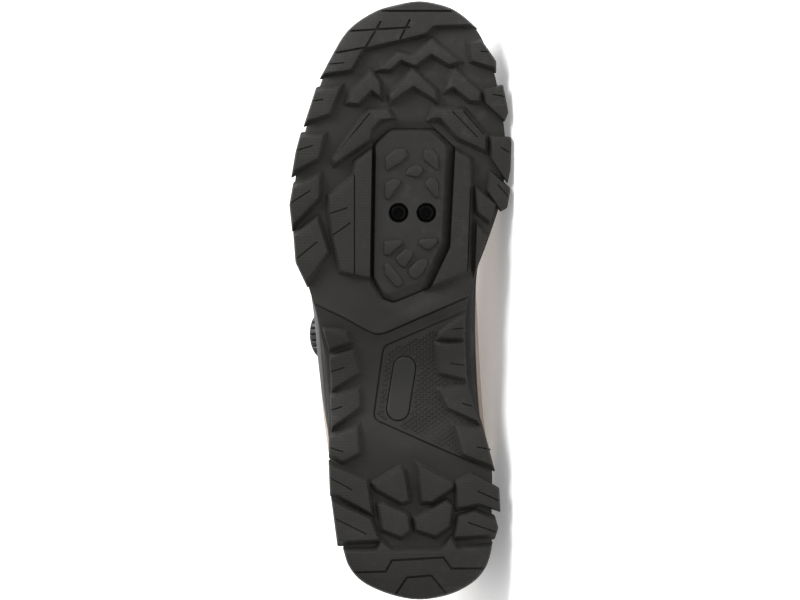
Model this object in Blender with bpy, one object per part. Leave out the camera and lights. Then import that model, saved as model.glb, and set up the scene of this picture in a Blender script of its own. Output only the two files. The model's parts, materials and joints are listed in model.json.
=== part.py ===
"""Right trail cycling shoe with a cleat pocket and a lace dial, lying on its inner side.

The shoe is modelled standing: X runs from heel to toe, Y towards the inner side, Z up from the
ground. An empty then turns the whole shoe onto its inner side, sole edge and upper on the floor.
"""
import math

import bmesh
import bpy
from mathutils import Matrix, Vector
from mathutils.bvhtree import BVHTree

# Driving sizes, in metres
LENGTH = 0.304
BALL_WIDTH = 0.112
GAP = 0.0003

# Heights of the sole, measured up from the ground under the ball
TOE_SPRING = 0.015
HEEL_BEVEL = 0.006
ARCH_RISE = 0.008
EDGE_RISE = 0.0020
LUG_HEIGHT = 0.0042
WAIST_LUG_HEIGHT = 0.0028
LUG_DRAFT = 0.0010
LUG_ROOT = 0.0014
BASE_THICKNESS = 0.0042
HEEL_STACK = 0.030
BALL_STACK = 0.0185
MIDSOLE_FLARE = 0.0032
MIDSOLE_RIM = 0.0040

# Upper, insole and tongue
INSTEP_HEIGHT = 0.100
WALL = 0.0022
COLLAR_PAD = 0.0045
UPPER_INSET = 0.0022
INSOLE_THICKNESS = 0.0040
INSOLE_CLEARANCE = 0.0012
TONGUE_THICKNESS = 0.0042
TONGUE_CLEARANCE = 0.0007
TONGUE_RISE = 0.020
TONGUE_LEAN = math.radians(38)

# Cleat pocket, cover and bolts
COVER_PROUD = 0.0016
COVER_LUG_HEIGHT = 0.0016
COVER_LUG_DRAFT = 0.0006
COVER_CLEARANCE = 0.0005
COVER_CHAMFER = 0.0012
POCKET_DEPTH = 0.0020
BOLT_SPACING = 0.0140
BOLT_HEAD = 0.0086
BOLT_HEAD_HEIGHT = 0.0017
BOLT_SHANK = 0.0048
BOLT_SOCKET = 0.0040
BOLT_SOCKET_DEPTH = 0.0011
COUNTERBORE = 0.0100
COUNTERBORE_DEPTH = 0.0022
SHANK_BORE = 0.0056

# Inlay in the waist
INLAY_WIDTH = 0.0110
INLAY_LENGTH = 0.0325
INLAY_THICKNESS = 0.0014
INLAY_PROUD = 0.0003

# Lace dial, guides and lace
DIAL_DIAMETER = 0.0250
DIAL_HEIGHT = 0.0060
DIAL_KNURLS = 24
DIAL_KNURL_DEPTH = 0.0007
DIAL_BASE_DIAMETER = 0.0290
DIAL_BASE_HEIGHT = 0.0030
LACE_DIAMETER = 0.0013
LACE_CLEARANCE = 0.0008
GUIDE_LENGTH = 0.0110
GUIDE_WIDTH = 0.0056
GUIDE_HEIGHT = 0.0040
GUIDE_BORE = 0.0024
SEAT_GAP = 0.0004
SEARCH_HEIGHT = 0.008

# The plan is drawn on a grid: 600 divisions of the length, 220 divisions of the ball width.
# Across is counted from the long axis, plus towards the inner side.
ALONG = LENGTH / 600
ACROSS = BALL_WIDTH / 220

# Plates are lofted through shared stations, and through short arcs at the heel and toe
SHARED_STATIONS = 40
END_RADIUS = 0.018
END_STEPS = 5

# Where the tread leaves the ground, as shares of the length
TOE_OFF = 0.75
HEEL_OFF = 0.09
ARCH_REAR = 0.23
ARCH_FRONT = 0.495
FLAT_SHARE = 0.66

# Outline of the rubber base, without the lugs that stand out of it
# along, lateral edge, medial edge
BASE_ROWS = (
    (2, 14, 14),
    (7, -13, 42),
    (20, -40, 64),
    (35, -54, 76),
    (58, -63, 83),
    (96, -71, 86),
    (135, -74, 86),
    (176, -75, 77),
    (217, -75, 63),
    (260, -82, 60),
    (288, -88, 61),
    (318, -97, 67),
    (359, -107, 82),
    (400, -110, 95),
    (440, -106, 100),
    (475, -97, 98),
    (512, -85, 92),
    (545, -71, 83),
    (570, -55, 71),
    (588, -29, 51),
    (594, -10, 37),
    (598, 14, 14),
)

# Sections of the last: where the upper meets the midsole, and where it ends at the collar or throat
# along, lateral, medial: outline of the midsole
# top_along, top_lateral, top_medial, top_height: edge of the collar or throat, height as a share
# of the instep height
# belly, rise: how far the wall swells past its foot, and at what share of its height
# reach, drop: how far the wall's top runs outward before it turns down, and how far it falls
# pad: share of the collar's padding
LAST_ROWS = (
    (9, 14, 14, 21, 12, 12, 0.940, 10, 0.40, 0.00, 0.34, 1.0),
    (15, -9, 37, 23, -9, 33, 0.930, 11, 0.40, 0.00, 0.34, 1.0),
    (32, -37, 62, 33, -29, 51, 0.880, 13, 0.40, 0.05, 0.34, 1.0),
    (60, -57, 77, 60, -42, 61, 0.800, 15, 0.42, 0.20, 0.34, 1.0),
    (100, -68, 82, 100, -48, 63, 0.755, 17, 0.44, 0.28, 0.34, 1.0),
    (145, -74, 80, 138, -49, 60, 0.765, 20, 0.45, 0.30, 0.34, 1.0),
    (190, -79, 74, 174, -46, 53, 0.840, 24, 0.45, 0.34, 0.30, 0.9),
    (235, -83, 71, 206, -39, 43, 0.940, 25, 0.46, 0.38, 0.24, 0.6),
    (280, -87, 70, 232, -31, 32, 1.000, 24, 0.48, 0.42, 0.16, 0.2),
    (330, -97, 72, 268, -25, 23, 0.955, 16, 0.52, 0.46, 0.11, 0.0),
    (380, -105, 84, 308, -23, 19, 0.850, 11, 0.55, 0.48, 0.10, 0.0),
    (425, -105, 93, 347, -20, 16, 0.740, 10, 0.60, 0.50, 0.10, 0.0),
    (470, -98, 94, 382, -16, 12, 0.650, 10, 0.66, 0.50, 0.10, 0.0),
    (515, -81, 87, 400, -11, 7, 0.612, 10, 0.72, 0.50, 0.09, 0.0),
    (550, -64, 75, 407, -6.5, 2.5, 0.600, 10, 0.76, 0.50, 0.08, 0.0),
    (576, -41, 59, 410, -4, 0, 0.596, 10, 0.78, 0.50, 0.08, 0.0),
    (589, 14, 14, 411, -2, -2, 0.594, 10, 0.80, 0.50, 0.08, 0.0),
)
TOP_ALONG, TOP_LATERAL, TOP_MEDIAL, TOP_HEIGHT, BELLY, RISE, REACH, DROP, PAD = range(3, 12)

# Lugs of the forefoot, waist and heel: name, then the corners of the tip as (along, across)
LUGS = (
    ("toe_lateral", (552, -41), (530, -54), (526, -80), (545, -70)),
    ("lateral_2", (479, -97), (507, -88), (512, -65), (486, -75)),
    ("lateral_3", (462, -103), (464, -81), (442, -86), (429, -110), (447, -107)),
    ("lateral_4", (412, -110), (424, -85), (402, -86), (376, -111), (395, -113)),
    ("lateral_5", (364, -109), (380, -87), (348, -77), (319, -98), (338, -107)),
    ("medial_1", (557, 76), (538, 89), (532, 89), (539, 67), (556, 65)),
    ("medial_2", (513, 96), (487, 101), (480, 98), (496, 81), (510, 79)),
    ("medial_3", (461, 104), (430, 103), (419, 101), (440, 87), (463, 86)),
    ("medial_4", (411, 103), (393, 100), (390, 95), (408, 83), (426, 87)),
    ("medial_5", (410, 71), (395, 90), (379, 84), (388, 73)),
    ("medial_6", (374, 72), (362, 80), (330, 70)),
    ("zigzag", (530, -25), (546, -7), (542, 7), (559, 27), (538, 52), (535, 44), (546, 26), (534, 10),
     (540, -4), (530, -15)),
    ("fore_lateral", (497, -56), (508, -52), (527, -34), (517, -26), (504, -25), (510, -33), (496, -47)),
    ("fore_centre", (504, -14), (529, 8), (508, 30), (500, 30), (514, 8), (499, -13)),
    ("fore_medial", (529, 50), (506, 74), (499, 73), (499, 65), (513, 48), (510, 42), (520, 44)),
    ("wing_lateral", (481, -13), (489, -17), (488, -35), (440, -70), (437, -69), (461, -35), (470, -34),
     (480, -25)),
    ("wing_medial", (481, 26), (490, 30), (489, 58), (464, 79), (450, 79), (462, 53), (482, 35)),
    ("rail_lateral", (450, -31), (437, -48), (422, -50), (403, -74), (387, -74), (365, -71), (329, -63),
     (322, -31)),
    ("rail_medial", (450, 47), (440, 64), (415, 65), (330, 63), (313, 23), (353, 41)),
    ("waist_lateral_1", (269, -80), (267, -59), (259, -55), (252, -75)),
    ("waist_lateral_2", (242, -74), (249, -52), (228, -46), (212, -72)),
    ("waist_lateral_3", (203, -73), (211, -46), (194, -45), (174, -72)),
    ("waist_lateral_4", (163, -74), (174, -47), (148, -46), (140, -62), (148, -74)),
    ("waist_medial_1", (267, 36), (282, 58), (263, 58), (263, 35)),
    ("waist_medial_2", (255, 33), (257, 58), (222, 60), (228, 35)),
    ("waist_medial_3", (210, 35), (214, 60), (180, 72), (193, 43)),
    ("waist_medial_4", (175, 50), (170, 77), (136, 86), (147, 58)),
    ("heel_lateral_1", (135, -74), (120, -38), (89, -34), (110, -73)),
    ("heel_lateral_2", (98, -71), (82, -35), (62, -27), (60, -66)),
    ("heel_medial_1", (117, 52), (126, 69), (112, 90), (92, 90), (98, 73), (94, 53)),
    ("heel_medial_2", (83, 54), (89, 69), (81, 87), (68, 87), (65, 51)),
    ("heel_front_lateral", (117, -30), (132, -5), (130, -2), (101, 3), (99, -3), (112, -27)),
    ("heel_front_medial", (135, 14), (118, 47), (114, 47), (100, 26), (100, 18)),
    ("heel_rear_lateral", (95, -25), (97, -21), (86, 2), (71, 4), (65, -4), (72, -21)),
    ("heel_rear_medial", (82, 11), (99, 41), (95, 46), (75, 43), (66, 30), (72, 12)),
)
# Blocks round the two ends: inner corners from the lateral to the medial side
TOE_BLOCK = ((548, -64), (552, -38), (560, -5), (566, 20), (574, 28), (576, 62))
HEEL_BLOCK = ((49, -57), (50, -26), (58, -23), (50, -13), (50, 38), (61, 46), (51, 52), (54, 79))

# Cleat cover, its small lugs and the bolts
COVER = ((470, -14), (470, 29), (451, 49), (353, 44), (313, 25), (298, -11), (301, -20), (323, -33),
         (455, -31))
COVER_LUGS = (
    ("cover_1", (429, -19), (448, -17), (455, -5), (450, 2), (442, 2), (436, -5)),
    ("cover_2", (453, 19), (443, 33), (430, 33), (430, 29), (440, 19)),
    ("cover_3", (429, -1), (434, 7), (433, 16), (428, 18), (423, 13), (423, 6)),
    ("cover_4", (403, -19), (418, -19), (420, -7)),
    ("cover_5", (422, 26), (415, 34), (403, 33)),
    ("cover_6", (359, -19), (360, -3), (357, -2), (345, -17), (345, -20)),
    ("cover_7", (359, 13), (360, 32), (357, 33), (351, 25), (352, 16)),
    ("cover_8", (345, -8), (351, -1), (350, 7), (344, 8), (334, 1), (334, -5)),
    ("cover_9", (335, 6), (340, 15), (340, 21), (333, 20), (324, 12), (325, 5)),
    ("cover_10", (335, -19), (337, -15), (323, -2), (317, -3), (316, -11), (322, -18)),
)
BOLTS_AT = (387, 7.4)
INLAY_FRONT = (233, -0.5)
INLAY_REAR = (191, -7)

# Places of the tongue's sections, counted in the last's rows from its front up to the collar, where
# it starts to come free of the throat's edges, and how far it reaches under them
TONGUE_PLACES = (13.6, 12.8, 12.0, 11.2, 10.4, 9.6, 9.0, 8.5)
TONGUE_FREE_FROM = 10.0
TONGUE_FREE_DEPTH = 0.0072
TONGUE_ARM = 0.15
# Sections of its free top: share of the rise, share of the width, how far it is flattened
TONGUE_FLAP = ((0.30, 0.80, 0.3), (0.65, 0.88, 0.6), (0.90, 0.80, 0.8), (1.0, 0.66, 0.9))

# Where the dial and the lace guides sit: place in the last's rows, share of the profile's run
DIAL_PLACE = 8.16
DIAL_UP = 0.575
GUIDE_UP = 0.91
LACE_EXIT_TURN = math.radians(60)
GUIDES = (
    ("lace_guide_medial_1", 1, 9.0),
    ("lace_guide_lateral_1", -1, 9.7),
    ("lace_guide_medial_2", 1, 10.3),
    ("lace_guide_lateral_2", -1, 10.9),
    ("lace_guide_medial_3", 1, 11.5),
)

# Balance point of the whole shoe: shares of the length, ball width and instep height
BALANCE_ALONG = 0.47
BALANCE_ACROSS = -0.01
BALANCE_UP = 0.245

# Colours, roughness and metal share of each finish
FINISHES = {
    "outsole_rubber": ((0.030, 0.029, 0.026), 0.62, 0.0),
    "cover_rubber": ((0.034, 0.033, 0.030), 0.60, 0.0),
    "inlay_rubber": ((0.033, 0.032, 0.029), 0.55, 0.0),
    "bolt_steel": ((0.020, 0.020, 0.021), 0.35, 0.9),
    "midsole_foam": ((0.050, 0.047, 0.045), 0.70, 0.0),
    "upper_fabric": ((0.530, 0.420, 0.320), 0.85, 0.0),
    "tongue_fabric": ((0.090, 0.080, 0.072), 0.90, 0.0),
    "insole_foam": ((0.060, 0.058, 0.055), 0.92, 0.0),
    "dial_plastic": ((0.022, 0.022, 0.024), 0.42, 0.0),
    "guide_plastic": ((0.035, 0.034, 0.034), 0.50, 0.0),
    "lace_cable": ((0.120, 0.110, 0.100), 0.45, 0.0),
}


def clear_scene():
    for old in list(bpy.data.objects):
        bpy.data.objects.remove(old, do_unlink=True)


def make_collection(name):
    collection = bpy.data.collections.new(name)
    bpy.context.scene.collection.children.link(collection)
    return collection


def make_material(name):
    colour, roughness, metallic = FINISHES[name]
    material = bpy.data.materials.new(name)
    material.use_nodes = True
    shader = material.node_tree.nodes["Principled BSDF"]
    shader.inputs["Base Color"].default_value = (*colour, 1.0)
    shader.inputs["Roughness"].default_value = roughness
    shader.inputs["Metallic"].default_value = metallic
    material.diffuse_color = (*colour, 1.0)
    return material


def add_object(name, mesh, collection, finish=None):
    piece = bpy.data.objects.new(name, mesh)
    collection.objects.link(piece)
    if finish:
        mesh.materials.append(make_material(finish))
    return piece


def mesh_from(name, points, faces):
    """A mesh from points and faces, with all faces turned outward."""
    mesh = bpy.data.meshes.new(name)
    mesh.from_pydata([tuple(point) for point in points], [], faces)
    shape = bmesh.new()
    shape.from_mesh(mesh)
    bmesh.ops.recalc_face_normals(shape, faces=shape.faces)
    shape.to_mesh(mesh)
    shape.free()
    return mesh


def smooth_step(value):
    value = min(max(value, 0.0), 1.0)
    return value * value * (3.0 - 2.0 * value)


def mix(a, b, share):
    return a + (b - a) * share


def spline_value(values, position):
    """Catmull-Rom value through evenly spaced rows, mirrored at both ends."""
    last = len(values) - 1
    index = min(int(position), last - 1)
    t = position - index
    p1, p2 = values[index], values[index + 1]
    p0 = values[abs(index - 1)]
    p3 = values[index + 2] if index + 2 <= last else values[last - 1]
    return 0.5 * (2 * p1 + (p2 - p0) * t + (2 * p0 - 5 * p1 + 4 * p2 - p3) * t * t
                  + (3 * p1 - p0 - 3 * p2 + p3) * t ** 3)


def spline_point(p0, p1, p2, p3, t):
    """Point of the centripetal Catmull-Rom span from p1 to p2, which stays round at close rows."""
    k1 = math.sqrt((p1 - p0).length)
    k2 = k1 + math.sqrt((p2 - p1).length)
    k3 = k2 + math.sqrt((p3 - p2).length)
    at = mix(k1, k2, t)
    a1 = mix(p0, p1, at / k1)
    a2 = mix(p1, p2, (at - k1) / (k2 - k1))
    a3 = mix(p2, p3, (at - k2) / (k3 - k2))
    b1 = mix(a1, a2, at / k2)
    b2 = mix(a2, a3, (at - k1) / (k3 - k1))
    return mix(b1, b2, (at - k1) / (k2 - k1))


class Outline:
    """A closed plan outline through a table's rows, from the heel round the lateral side."""

    def __init__(self, rows):
        lateral = [Vector((row[0] * ALONG, row[1] * ACROSS)) for row in rows]
        medial = [Vector((row[0] * ALONG, row[2] * ACROSS)) for row in rows]
        self.count = len(rows) - 1
        self.loop = lateral + medial[-2:0:-1]
        fine = [step / 8 for step in range(self.count * 8 + 1)]
        self.edges = {side: [self.point(side, place) for place in fine] for side in (-1, 1)}
        self.places = fine

    def around(self, position):
        index = math.floor(position)
        near = [self.loop[(index + k) % len(self.loop)] for k in (-1, 0, 1, 2)]
        return spline_point(*near, position - index)

    def position(self, side, place):
        return place if side < 0 else 2 * self.count - place

    def point(self, side, place, inset=0.0):
        """Point on the lateral (-1) or medial (1) side, place counted in the table's rows."""
        here = self.around(self.position(side, place))
        return here - self.normal(side, place) * inset if inset else here

    def normal(self, side, place):
        """Plan normal that points out of the outline."""
        middle = self.position(side, place)
        along = self.around(middle + 0.02) - self.around(middle - 0.02)
        return Vector((along.y, -along.x)).normalized()

    def place_at(self, side, x):
        """Place of the edge point that lies at x."""
        edge = self.edges[side]
        for low, high, place in zip(edge, edge[1:], self.places):
            if low.x <= x <= high.x and high.x > low.x:
                return place + (x - low.x) / (high.x - low.x) / 8
        return 0.0 if x < edge[0].x else float(self.count)

    def share(self, x, y):
        """Where y lies across the outline at x: -1 at the lateral edge, 1 at the medial edge."""
        lateral = self.point(-1, self.place_at(-1, x)).y
        medial = self.point(1, self.place_at(1, x)).y
        half = max((medial - lateral) / 2, LUG_HEIGHT)
        return min(max((y - (lateral + medial) / 2) / half, -1.0), 1.0)


BASE = Outline(BASE_ROWS)
LAST = Outline(LAST_ROWS)


def arch_share(x):
    """0 under the heel and ball, 1 in the middle of the waist."""
    u = (x / LENGTH - ARCH_REAR) / (ARCH_FRONT - ARCH_REAR)
    return math.sin(math.pi * u) ** 2 if 0.0 < u < 1.0 else 0.0


def toe_share(x):
    return max(0.0, (x / LENGTH - TOE_OFF) / (1.0 - TOE_OFF))


def tread_line(x):
    """Height of the lug tips above the ground, along the middle of the sole."""
    heel = max(0.0, 1.0 - x / (HEEL_OFF * LENGTH))
    return TOE_SPRING * toe_share(x) ** 2 + HEEL_BEVEL * heel ** 2 + ARCH_RISE * arch_share(x)


def by_stations(height, x):
    """The height function made straight between the shared stations, so that plates nest."""
    pitch = LENGTH / SHARED_STATIONS
    low = math.floor(x / pitch) * pitch
    return mix(height(low), height(low + pitch), (x - low) / pitch)


def tread_z(x, y):
    """Height of the lug tips, which rises towards both edges of the sole."""
    edge = max(0.0, (abs(BASE.share(x, y)) - FLAT_SHARE) / (1.0 - FLAT_SHARE))
    return tread_line(x) + EDGE_RISE * edge ** 2


def lug_height(x):
    return mix(LUG_HEIGHT, WAIST_LUG_HEIGHT, arch_share(x))


def base_z(x, y):
    """Height of the rubber base's face between the lugs."""
    return tread_z(x, y) + lug_height(x)


def base_line(x):
    return tread_line(x) + lug_height(x)


def base_top_z(x, y):
    return by_stations(base_line, x) + BASE_THICKNESS


def midsole_bottom_z(x, y):
    return base_top_z(x, y) + GAP


def footbed_line(x):
    forward = smooth_step((x / LENGTH - ARCH_REAR) / (TOE_OFF - ARCH_REAR))
    return mix(HEEL_STACK, BALL_STACK, forward) + TOE_SPRING * toe_share(x) ** 2


def footbed_z(x, y=0.0):
    """Height of the midsole's top, which carries the upper and the insole."""
    return by_stations(footbed_line, x)


def plate(name, outline, rings, bottom_z, top_z, shares):
    """A closed plate: rings of (inset, height function) up its side, a grid above and below."""
    points = []
    faces = []
    lengthwise = stations(outline)
    last = len(lengthwise) - 1

    def add(x, y, z):
        points.append((x, y, z))
        return len(points) - 1

    loops = []
    for inset, height in rings:
        loop = {}
        for side in (-1, 1):
            for index, x in enumerate(lengthwise):
                if side > 0 and index in (0, last):
                    loop[(side, index)] = loop[(-1, index)]
                    continue
                spot = outline.point(side, outline.place_at(side, x), inset)
                loop[(side, index)] = add(spot.x, spot.y, height(spot.x, spot.y))
        loops.append(loop)
    for low, high in zip(loops, loops[1:]):
        for side in (-1, 1):
            for k in range(last):
                quad = [low[(side, k)], low[(side, k + 1)], high[(side, k + 1)], high[(side, k)]]
                faces.append(quad)
    for loop, height in ((loops[0], bottom_z), (loops[-1], top_z)):
        rows = []
        for index in range(last + 1):
            left, right = loop[(-1, index)], loop[(1, index)]
            if index in (0, last):
                rows.append([left] * (len(shares) + 2))
                continue
            a, b = Vector(points[left]), Vector(points[right])
            inner = []
            for share in shares:
                spot = mix(a, b, share)
                inner.append(add(spot.x, spot.y, height(spot.x, spot.y)))
            rows.append([left] + inner + [right])
        for low, high in zip(rows, rows[1:]):
            for k in range(len(low) - 1):
                corners = [low[k], low[k + 1], high[k + 1], high[k]]
                face = list(dict.fromkeys(corners))
                if len(face) > 2:
                    faces.append(face)
    return mesh_from(name, points, faces)


def stations(outline):
    """Lengthwise stations of a plate: arcs at its two ends, shared stations in between."""
    heel, toe = outline.loop[0].x, outline.loop[outline.count].x
    arc = [END_RADIUS * (1.0 - math.cos(math.pi / 2 * k / END_STEPS)) for k in range(END_STEPS)]
    shared = [k * LENGTH / SHARED_STATIONS for k in range(1, SHARED_STATIONS)]
    middle = [x for x in shared if heel + END_RADIUS <= x <= toe - END_RADIUS]
    return [heel + reach for reach in arc] + middle + [toe - reach for reach in reversed(arc)]


def plan(corner):
    return Vector((corner[0] * ALONG, corner[1] * ACROSS))


def turned_left(corners):
    """The same corners in anticlockwise order."""
    area = 0.0
    for a, b in zip(corners, corners[1:] + corners[:1]):
        area += a.x * b.y - b.x * a.y
    return corners if area > 0 else list(reversed(corners))


def offset_corners(corners, distance):
    """Corners moved outward so that each side moves by the distance, with blunt mitres."""
    result = []
    for before, here, after in zip(corners[-1:] + corners[:-1], corners, corners[1:] + corners[:1]):
        one = (here - before).normalized()
        two = (after - here).normalized()
        n1 = Vector((one.y, -one.x))
        n2 = Vector((two.y, -two.x))
        middle = (n1 + n2).normalized()
        result.append(here + middle * distance / max(middle.dot(n1), 0.5))
    return result


def add_prism(shape, corners, tip_z, root_z, draft):
    """Add one drafted lug: its tip down at tip_z, its root, wider by the draft, at root_z."""
    corners = turned_left(corners)
    roots = offset_corners(corners, draft)
    low = [shape.verts.new((p.x, p.y, tip_z(p.x, p.y))) for p in corners]
    high = [shape.verts.new((p.x, p.y, root_z(p.x, p.y))) for p in roots]
    shape.faces.new(list(reversed(low)))
    shape.faces.new(high)
    for k in range(len(low)):
        after = (k + 1) % len(low)
        shape.faces.new((low[k], low[after], high[after], high[k]))


def mesh_from_prisms(name, prisms):
    shape = bmesh.new()
    for corners, tip_z, root_z, draft in prisms:
        add_prism(shape, corners, tip_z, root_z, draft)
    bmesh.ops.triangulate(shape, faces=shape.faces)
    bmesh.ops.recalc_face_normals(shape, faces=shape.faces)
    mesh = bpy.data.meshes.new(name)
    shape.to_mesh(mesh)
    shape.free()
    return mesh


def add_boolean(target, cutter, operation, overlapping=False):
    step = target.modifiers.new(cutter.name, "BOOLEAN")
    step.object = cutter
    step.operation = operation
    step.solver = "EXACT"
    step.use_self = overlapping


def make_cutter(name, mesh):
    cutter = bpy.data.objects.new(name, mesh)
    CUTTERS.objects.link(cutter)
    cutter.hide_render = True
    cutter.display_type = "WIRE"
    cutter.parent = SHOE
    return cutter


def make_piece(name, mesh, finish):
    piece = add_object(name, mesh, PARTS, finish)
    piece.parent = SHOE
    return piece


def block_corners(inner, toe):
    """A block round the toe or heel: its inner corners, then the outline from side to side."""
    first, last = plan(inner[0]), plan(inner[-1])
    end = BASE.count if toe else 0
    start = BASE.place_at(-1, first.x)
    finish = BASE.place_at(1, last.x)
    steps = 7
    lateral = [BASE.point(-1, mix(start, end, k / steps), LUG_DRAFT / 2) for k in range(steps)]
    medial = [BASE.point(1, mix(end, finish, k / steps), LUG_DRAFT / 2) for k in range(steps + 1)]
    return [plan(corner) for corner in reversed(inner[1:-1])] + lateral + medial


def root_z(x, y):
    return base_z(x, y) + LUG_ROOT


def make_outsole():
    rings = ((0.0, base_z), (0.0, base_top_z))
    mesh = plate("outsole", BASE, rings, base_z, base_top_z, (0.17, 0.5, 0.83))
    outsole = make_piece("outsole", mesh, "outsole_rubber")
    prisms = [([plan(corner) for corner in lug[1:]], tread_z, root_z, LUG_DRAFT) for lug in LUGS]
    prisms.append((block_corners(TOE_BLOCK, True), tread_z, root_z, LUG_DRAFT))
    prisms.append((block_corners(HEEL_BLOCK, False), tread_z, root_z, LUG_DRAFT))
    add_boolean(outsole, make_cutter("lug_forms", mesh_from_prisms("lug_forms", prisms)), "UNION", True)
    pocket = offset_corners(turned_left([plan(corner) for corner in COVER]), COVER_CLEARANCE)
    floor = LUG_HEIGHT + POCKET_DEPTH
    cut = mesh_from_prisms("pocket_form", [(pocket, level(-LUG_HEIGHT), level(floor), 0.0)])
    add_boolean(outsole, make_cutter("pocket_form", cut), "DIFFERENCE")
    recess = mesh_from_prisms("inlay_form", [(inlay_corners(GAP), below_base, inlay_floor, 0.0)])
    add_boolean(outsole, make_cutter("inlay_form", recess), "DIFFERENCE")


def level(height):
    return lambda x, y: height


def below_base(x, y):
    return base_z(x, y) - 2 * INLAY_THICKNESS


def inlay_floor(x, y):
    return inlay_face(x, y) + INLAY_THICKNESS + GAP


def inlay_face(x, y):
    """Outer face of the inlay, a flat plane through the base's height at its two ends."""
    front, rear = plan(INLAY_FRONT), plan(INLAY_REAR)
    share = (x - rear.x) / (front.x - rear.x)
    return mix(base_z(rear.x, rear.y), base_z(front.x, front.y), share) - INLAY_PROUD


def inlay_corners(grow):
    """A stadium along the line from the rear to the front centre."""
    front, rear = plan(INLAY_FRONT), plan(INLAY_REAR)
    middle = (front + rear) / 2
    axis = (front - rear).normalized()
    reach = axis * (INLAY_LENGTH - INLAY_WIDTH) / 2
    start = math.atan2(axis.y, axis.x) - math.pi / 2
    radius = INLAY_WIDTH / 2 + grow
    steps = 8
    corners = []
    for centre, turn in ((middle + reach, start), (middle - reach, start + math.pi)):
        for k in range(steps + 1):
            angle = turn + math.pi * k / steps
            corners.append(centre + Vector((math.cos(angle), math.sin(angle))) * radius)
    return corners


def make_inlay():
    mesh = mesh_from_prisms("waist_inlay", [(inlay_corners(0.0), inlay_face, inlay_back, 0.0)])
    make_piece("waist_inlay", mesh, "inlay_rubber")


def inlay_back(x, y):
    return inlay_face(x, y) + INLAY_THICKNESS


def cylinder_form(name, diameter, low, high, centre, sides=24, turn=0.0):
    shape = bmesh.new()
    place = Matrix.Translation((centre.x, centre.y, (low + high) / 2)) @ Matrix.Rotation(turn, 4, "Z")
    bmesh.ops.create_cone(shape, cap_ends=True, segments=sides, radius1=diameter / 2,
                          radius2=diameter / 2, depth=high - low, matrix=place)
    mesh = bpy.data.meshes.new(name)
    shape.to_mesh(mesh)
    shape.free()
    return mesh


def bolt_centres():
    middle = plan(BOLTS_AT)
    half = Vector((0.0, BOLT_SPACING / 2))
    return (("lateral", middle - half), ("medial", middle + half))


COVER_FACE = LUG_HEIGHT - COVER_PROUD
COVER_BACK = LUG_HEIGHT + POCKET_DEPTH - GAP


def make_cover():
    corners = turned_left([plan(corner) for corner in COVER])
    shape = bmesh.new()
    inner = offset_corners(corners, -COVER_CHAMFER)
    rings = ((inner, COVER_FACE), (corners, COVER_FACE + COVER_CHAMFER), (corners, COVER_BACK))
    loops = [[shape.verts.new((p.x, p.y, z)) for p in ring] for ring, z in rings]
    shape.faces.new(list(reversed(loops[0])))
    shape.faces.new(loops[-1])
    for low, high in zip(loops, loops[1:]):
        for k in range(len(low)):
            after = (k + 1) % len(low)
            shape.faces.new((low[k], low[after], high[after], high[k]))
    mesh = bpy.data.meshes.new("cleat_cover")
    shape.to_mesh(mesh)
    shape.free()
    cover = make_piece("cleat_cover", mesh, "cover_rubber")
    prisms = []
    for lug in COVER_LUGS:
        tip = level(COVER_FACE - COVER_LUG_HEIGHT)
        prisms.append(([plan(corner) for corner in lug[1:]], tip, level(COVER_FACE + COVER_CHAMFER),
                       COVER_LUG_DRAFT))
    lugs = make_cutter("cover_lug_forms", mesh_from_prisms("cover_lug_forms", prisms))
    add_boolean(cover, lugs, "UNION", True)
    for side, centre in bolt_centres():
        deep = COVER_FACE + COUNTERBORE_DEPTH
        bore = cylinder_form("counterbore_" + side, COUNTERBORE, -COVER_FACE, deep, centre)
        add_boolean(cover, make_cutter("counterbore_" + side, bore), "DIFFERENCE")
        hole = cylinder_form("shank_bore_" + side, SHANK_BORE, -COVER_FACE, 2 * COVER_BACK, centre, 16)
        add_boolean(cover, make_cutter("shank_bore_" + side, hole), "DIFFERENCE")


def make_bolts():
    for side, centre in bolt_centres():
        seat = COVER_FACE + COUNTERBORE_DEPTH - GAP
        face = seat - BOLT_HEAD_HEIGHT
        name = "cleat_bolt_" + side
        bolt = make_piece(name, cylinder_form(name, BOLT_HEAD, face, seat, centre), "bolt_steel")
        shank = cylinder_form(name + "_shank", BOLT_SHANK, seat - GAP, COVER_BACK, centre, 16)
        add_boolean(bolt, make_cutter(name + "_shank", shank), "UNION")
        key = 2 * BOLT_SOCKET / math.sqrt(3)
        socket = cylinder_form(name + "_socket", key, face - GAP, face + BOLT_SOCKET_DEPTH, centre, 6)
        add_boolean(bolt, make_cutter(name + "_socket", socket), "DIFFERENCE")


def make_midsole():
    def lower_wall_z(x, y):
        return mix(midsole_bottom_z(x, y), footbed_z(x), 0.35)

    def upper_wall_z(x, y):
        return footbed_z(x) - MIDSOLE_RIM / 2

    rings = ((MIDSOLE_FLARE, midsole_bottom_z), (MIDSOLE_FLARE / 3, lower_wall_z), (0.0, upper_wall_z),
             (MIDSOLE_RIM / 8, footbed_z))
    mesh = plate("midsole", LAST, rings, midsole_bottom_z, footbed_z, (0.5,))
    make_piece("midsole", mesh, "midsole_foam")


def make_insole():
    def under(x, y):
        return footbed_z(x) + GAP

    def over(x, y):
        return footbed_z(x) + GAP + INSOLE_THICKNESS

    inset = UPPER_INSET + WALL + INSOLE_CLEARANCE
    mesh = plate("insole", LAST, ((inset, under), (inset, over)), under, over, (0.5,))
    make_piece("insole", mesh, "insole_foam")


def last_value(column, place):
    return spline_value([row[column] for row in LAST_ROWS], place)


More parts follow.
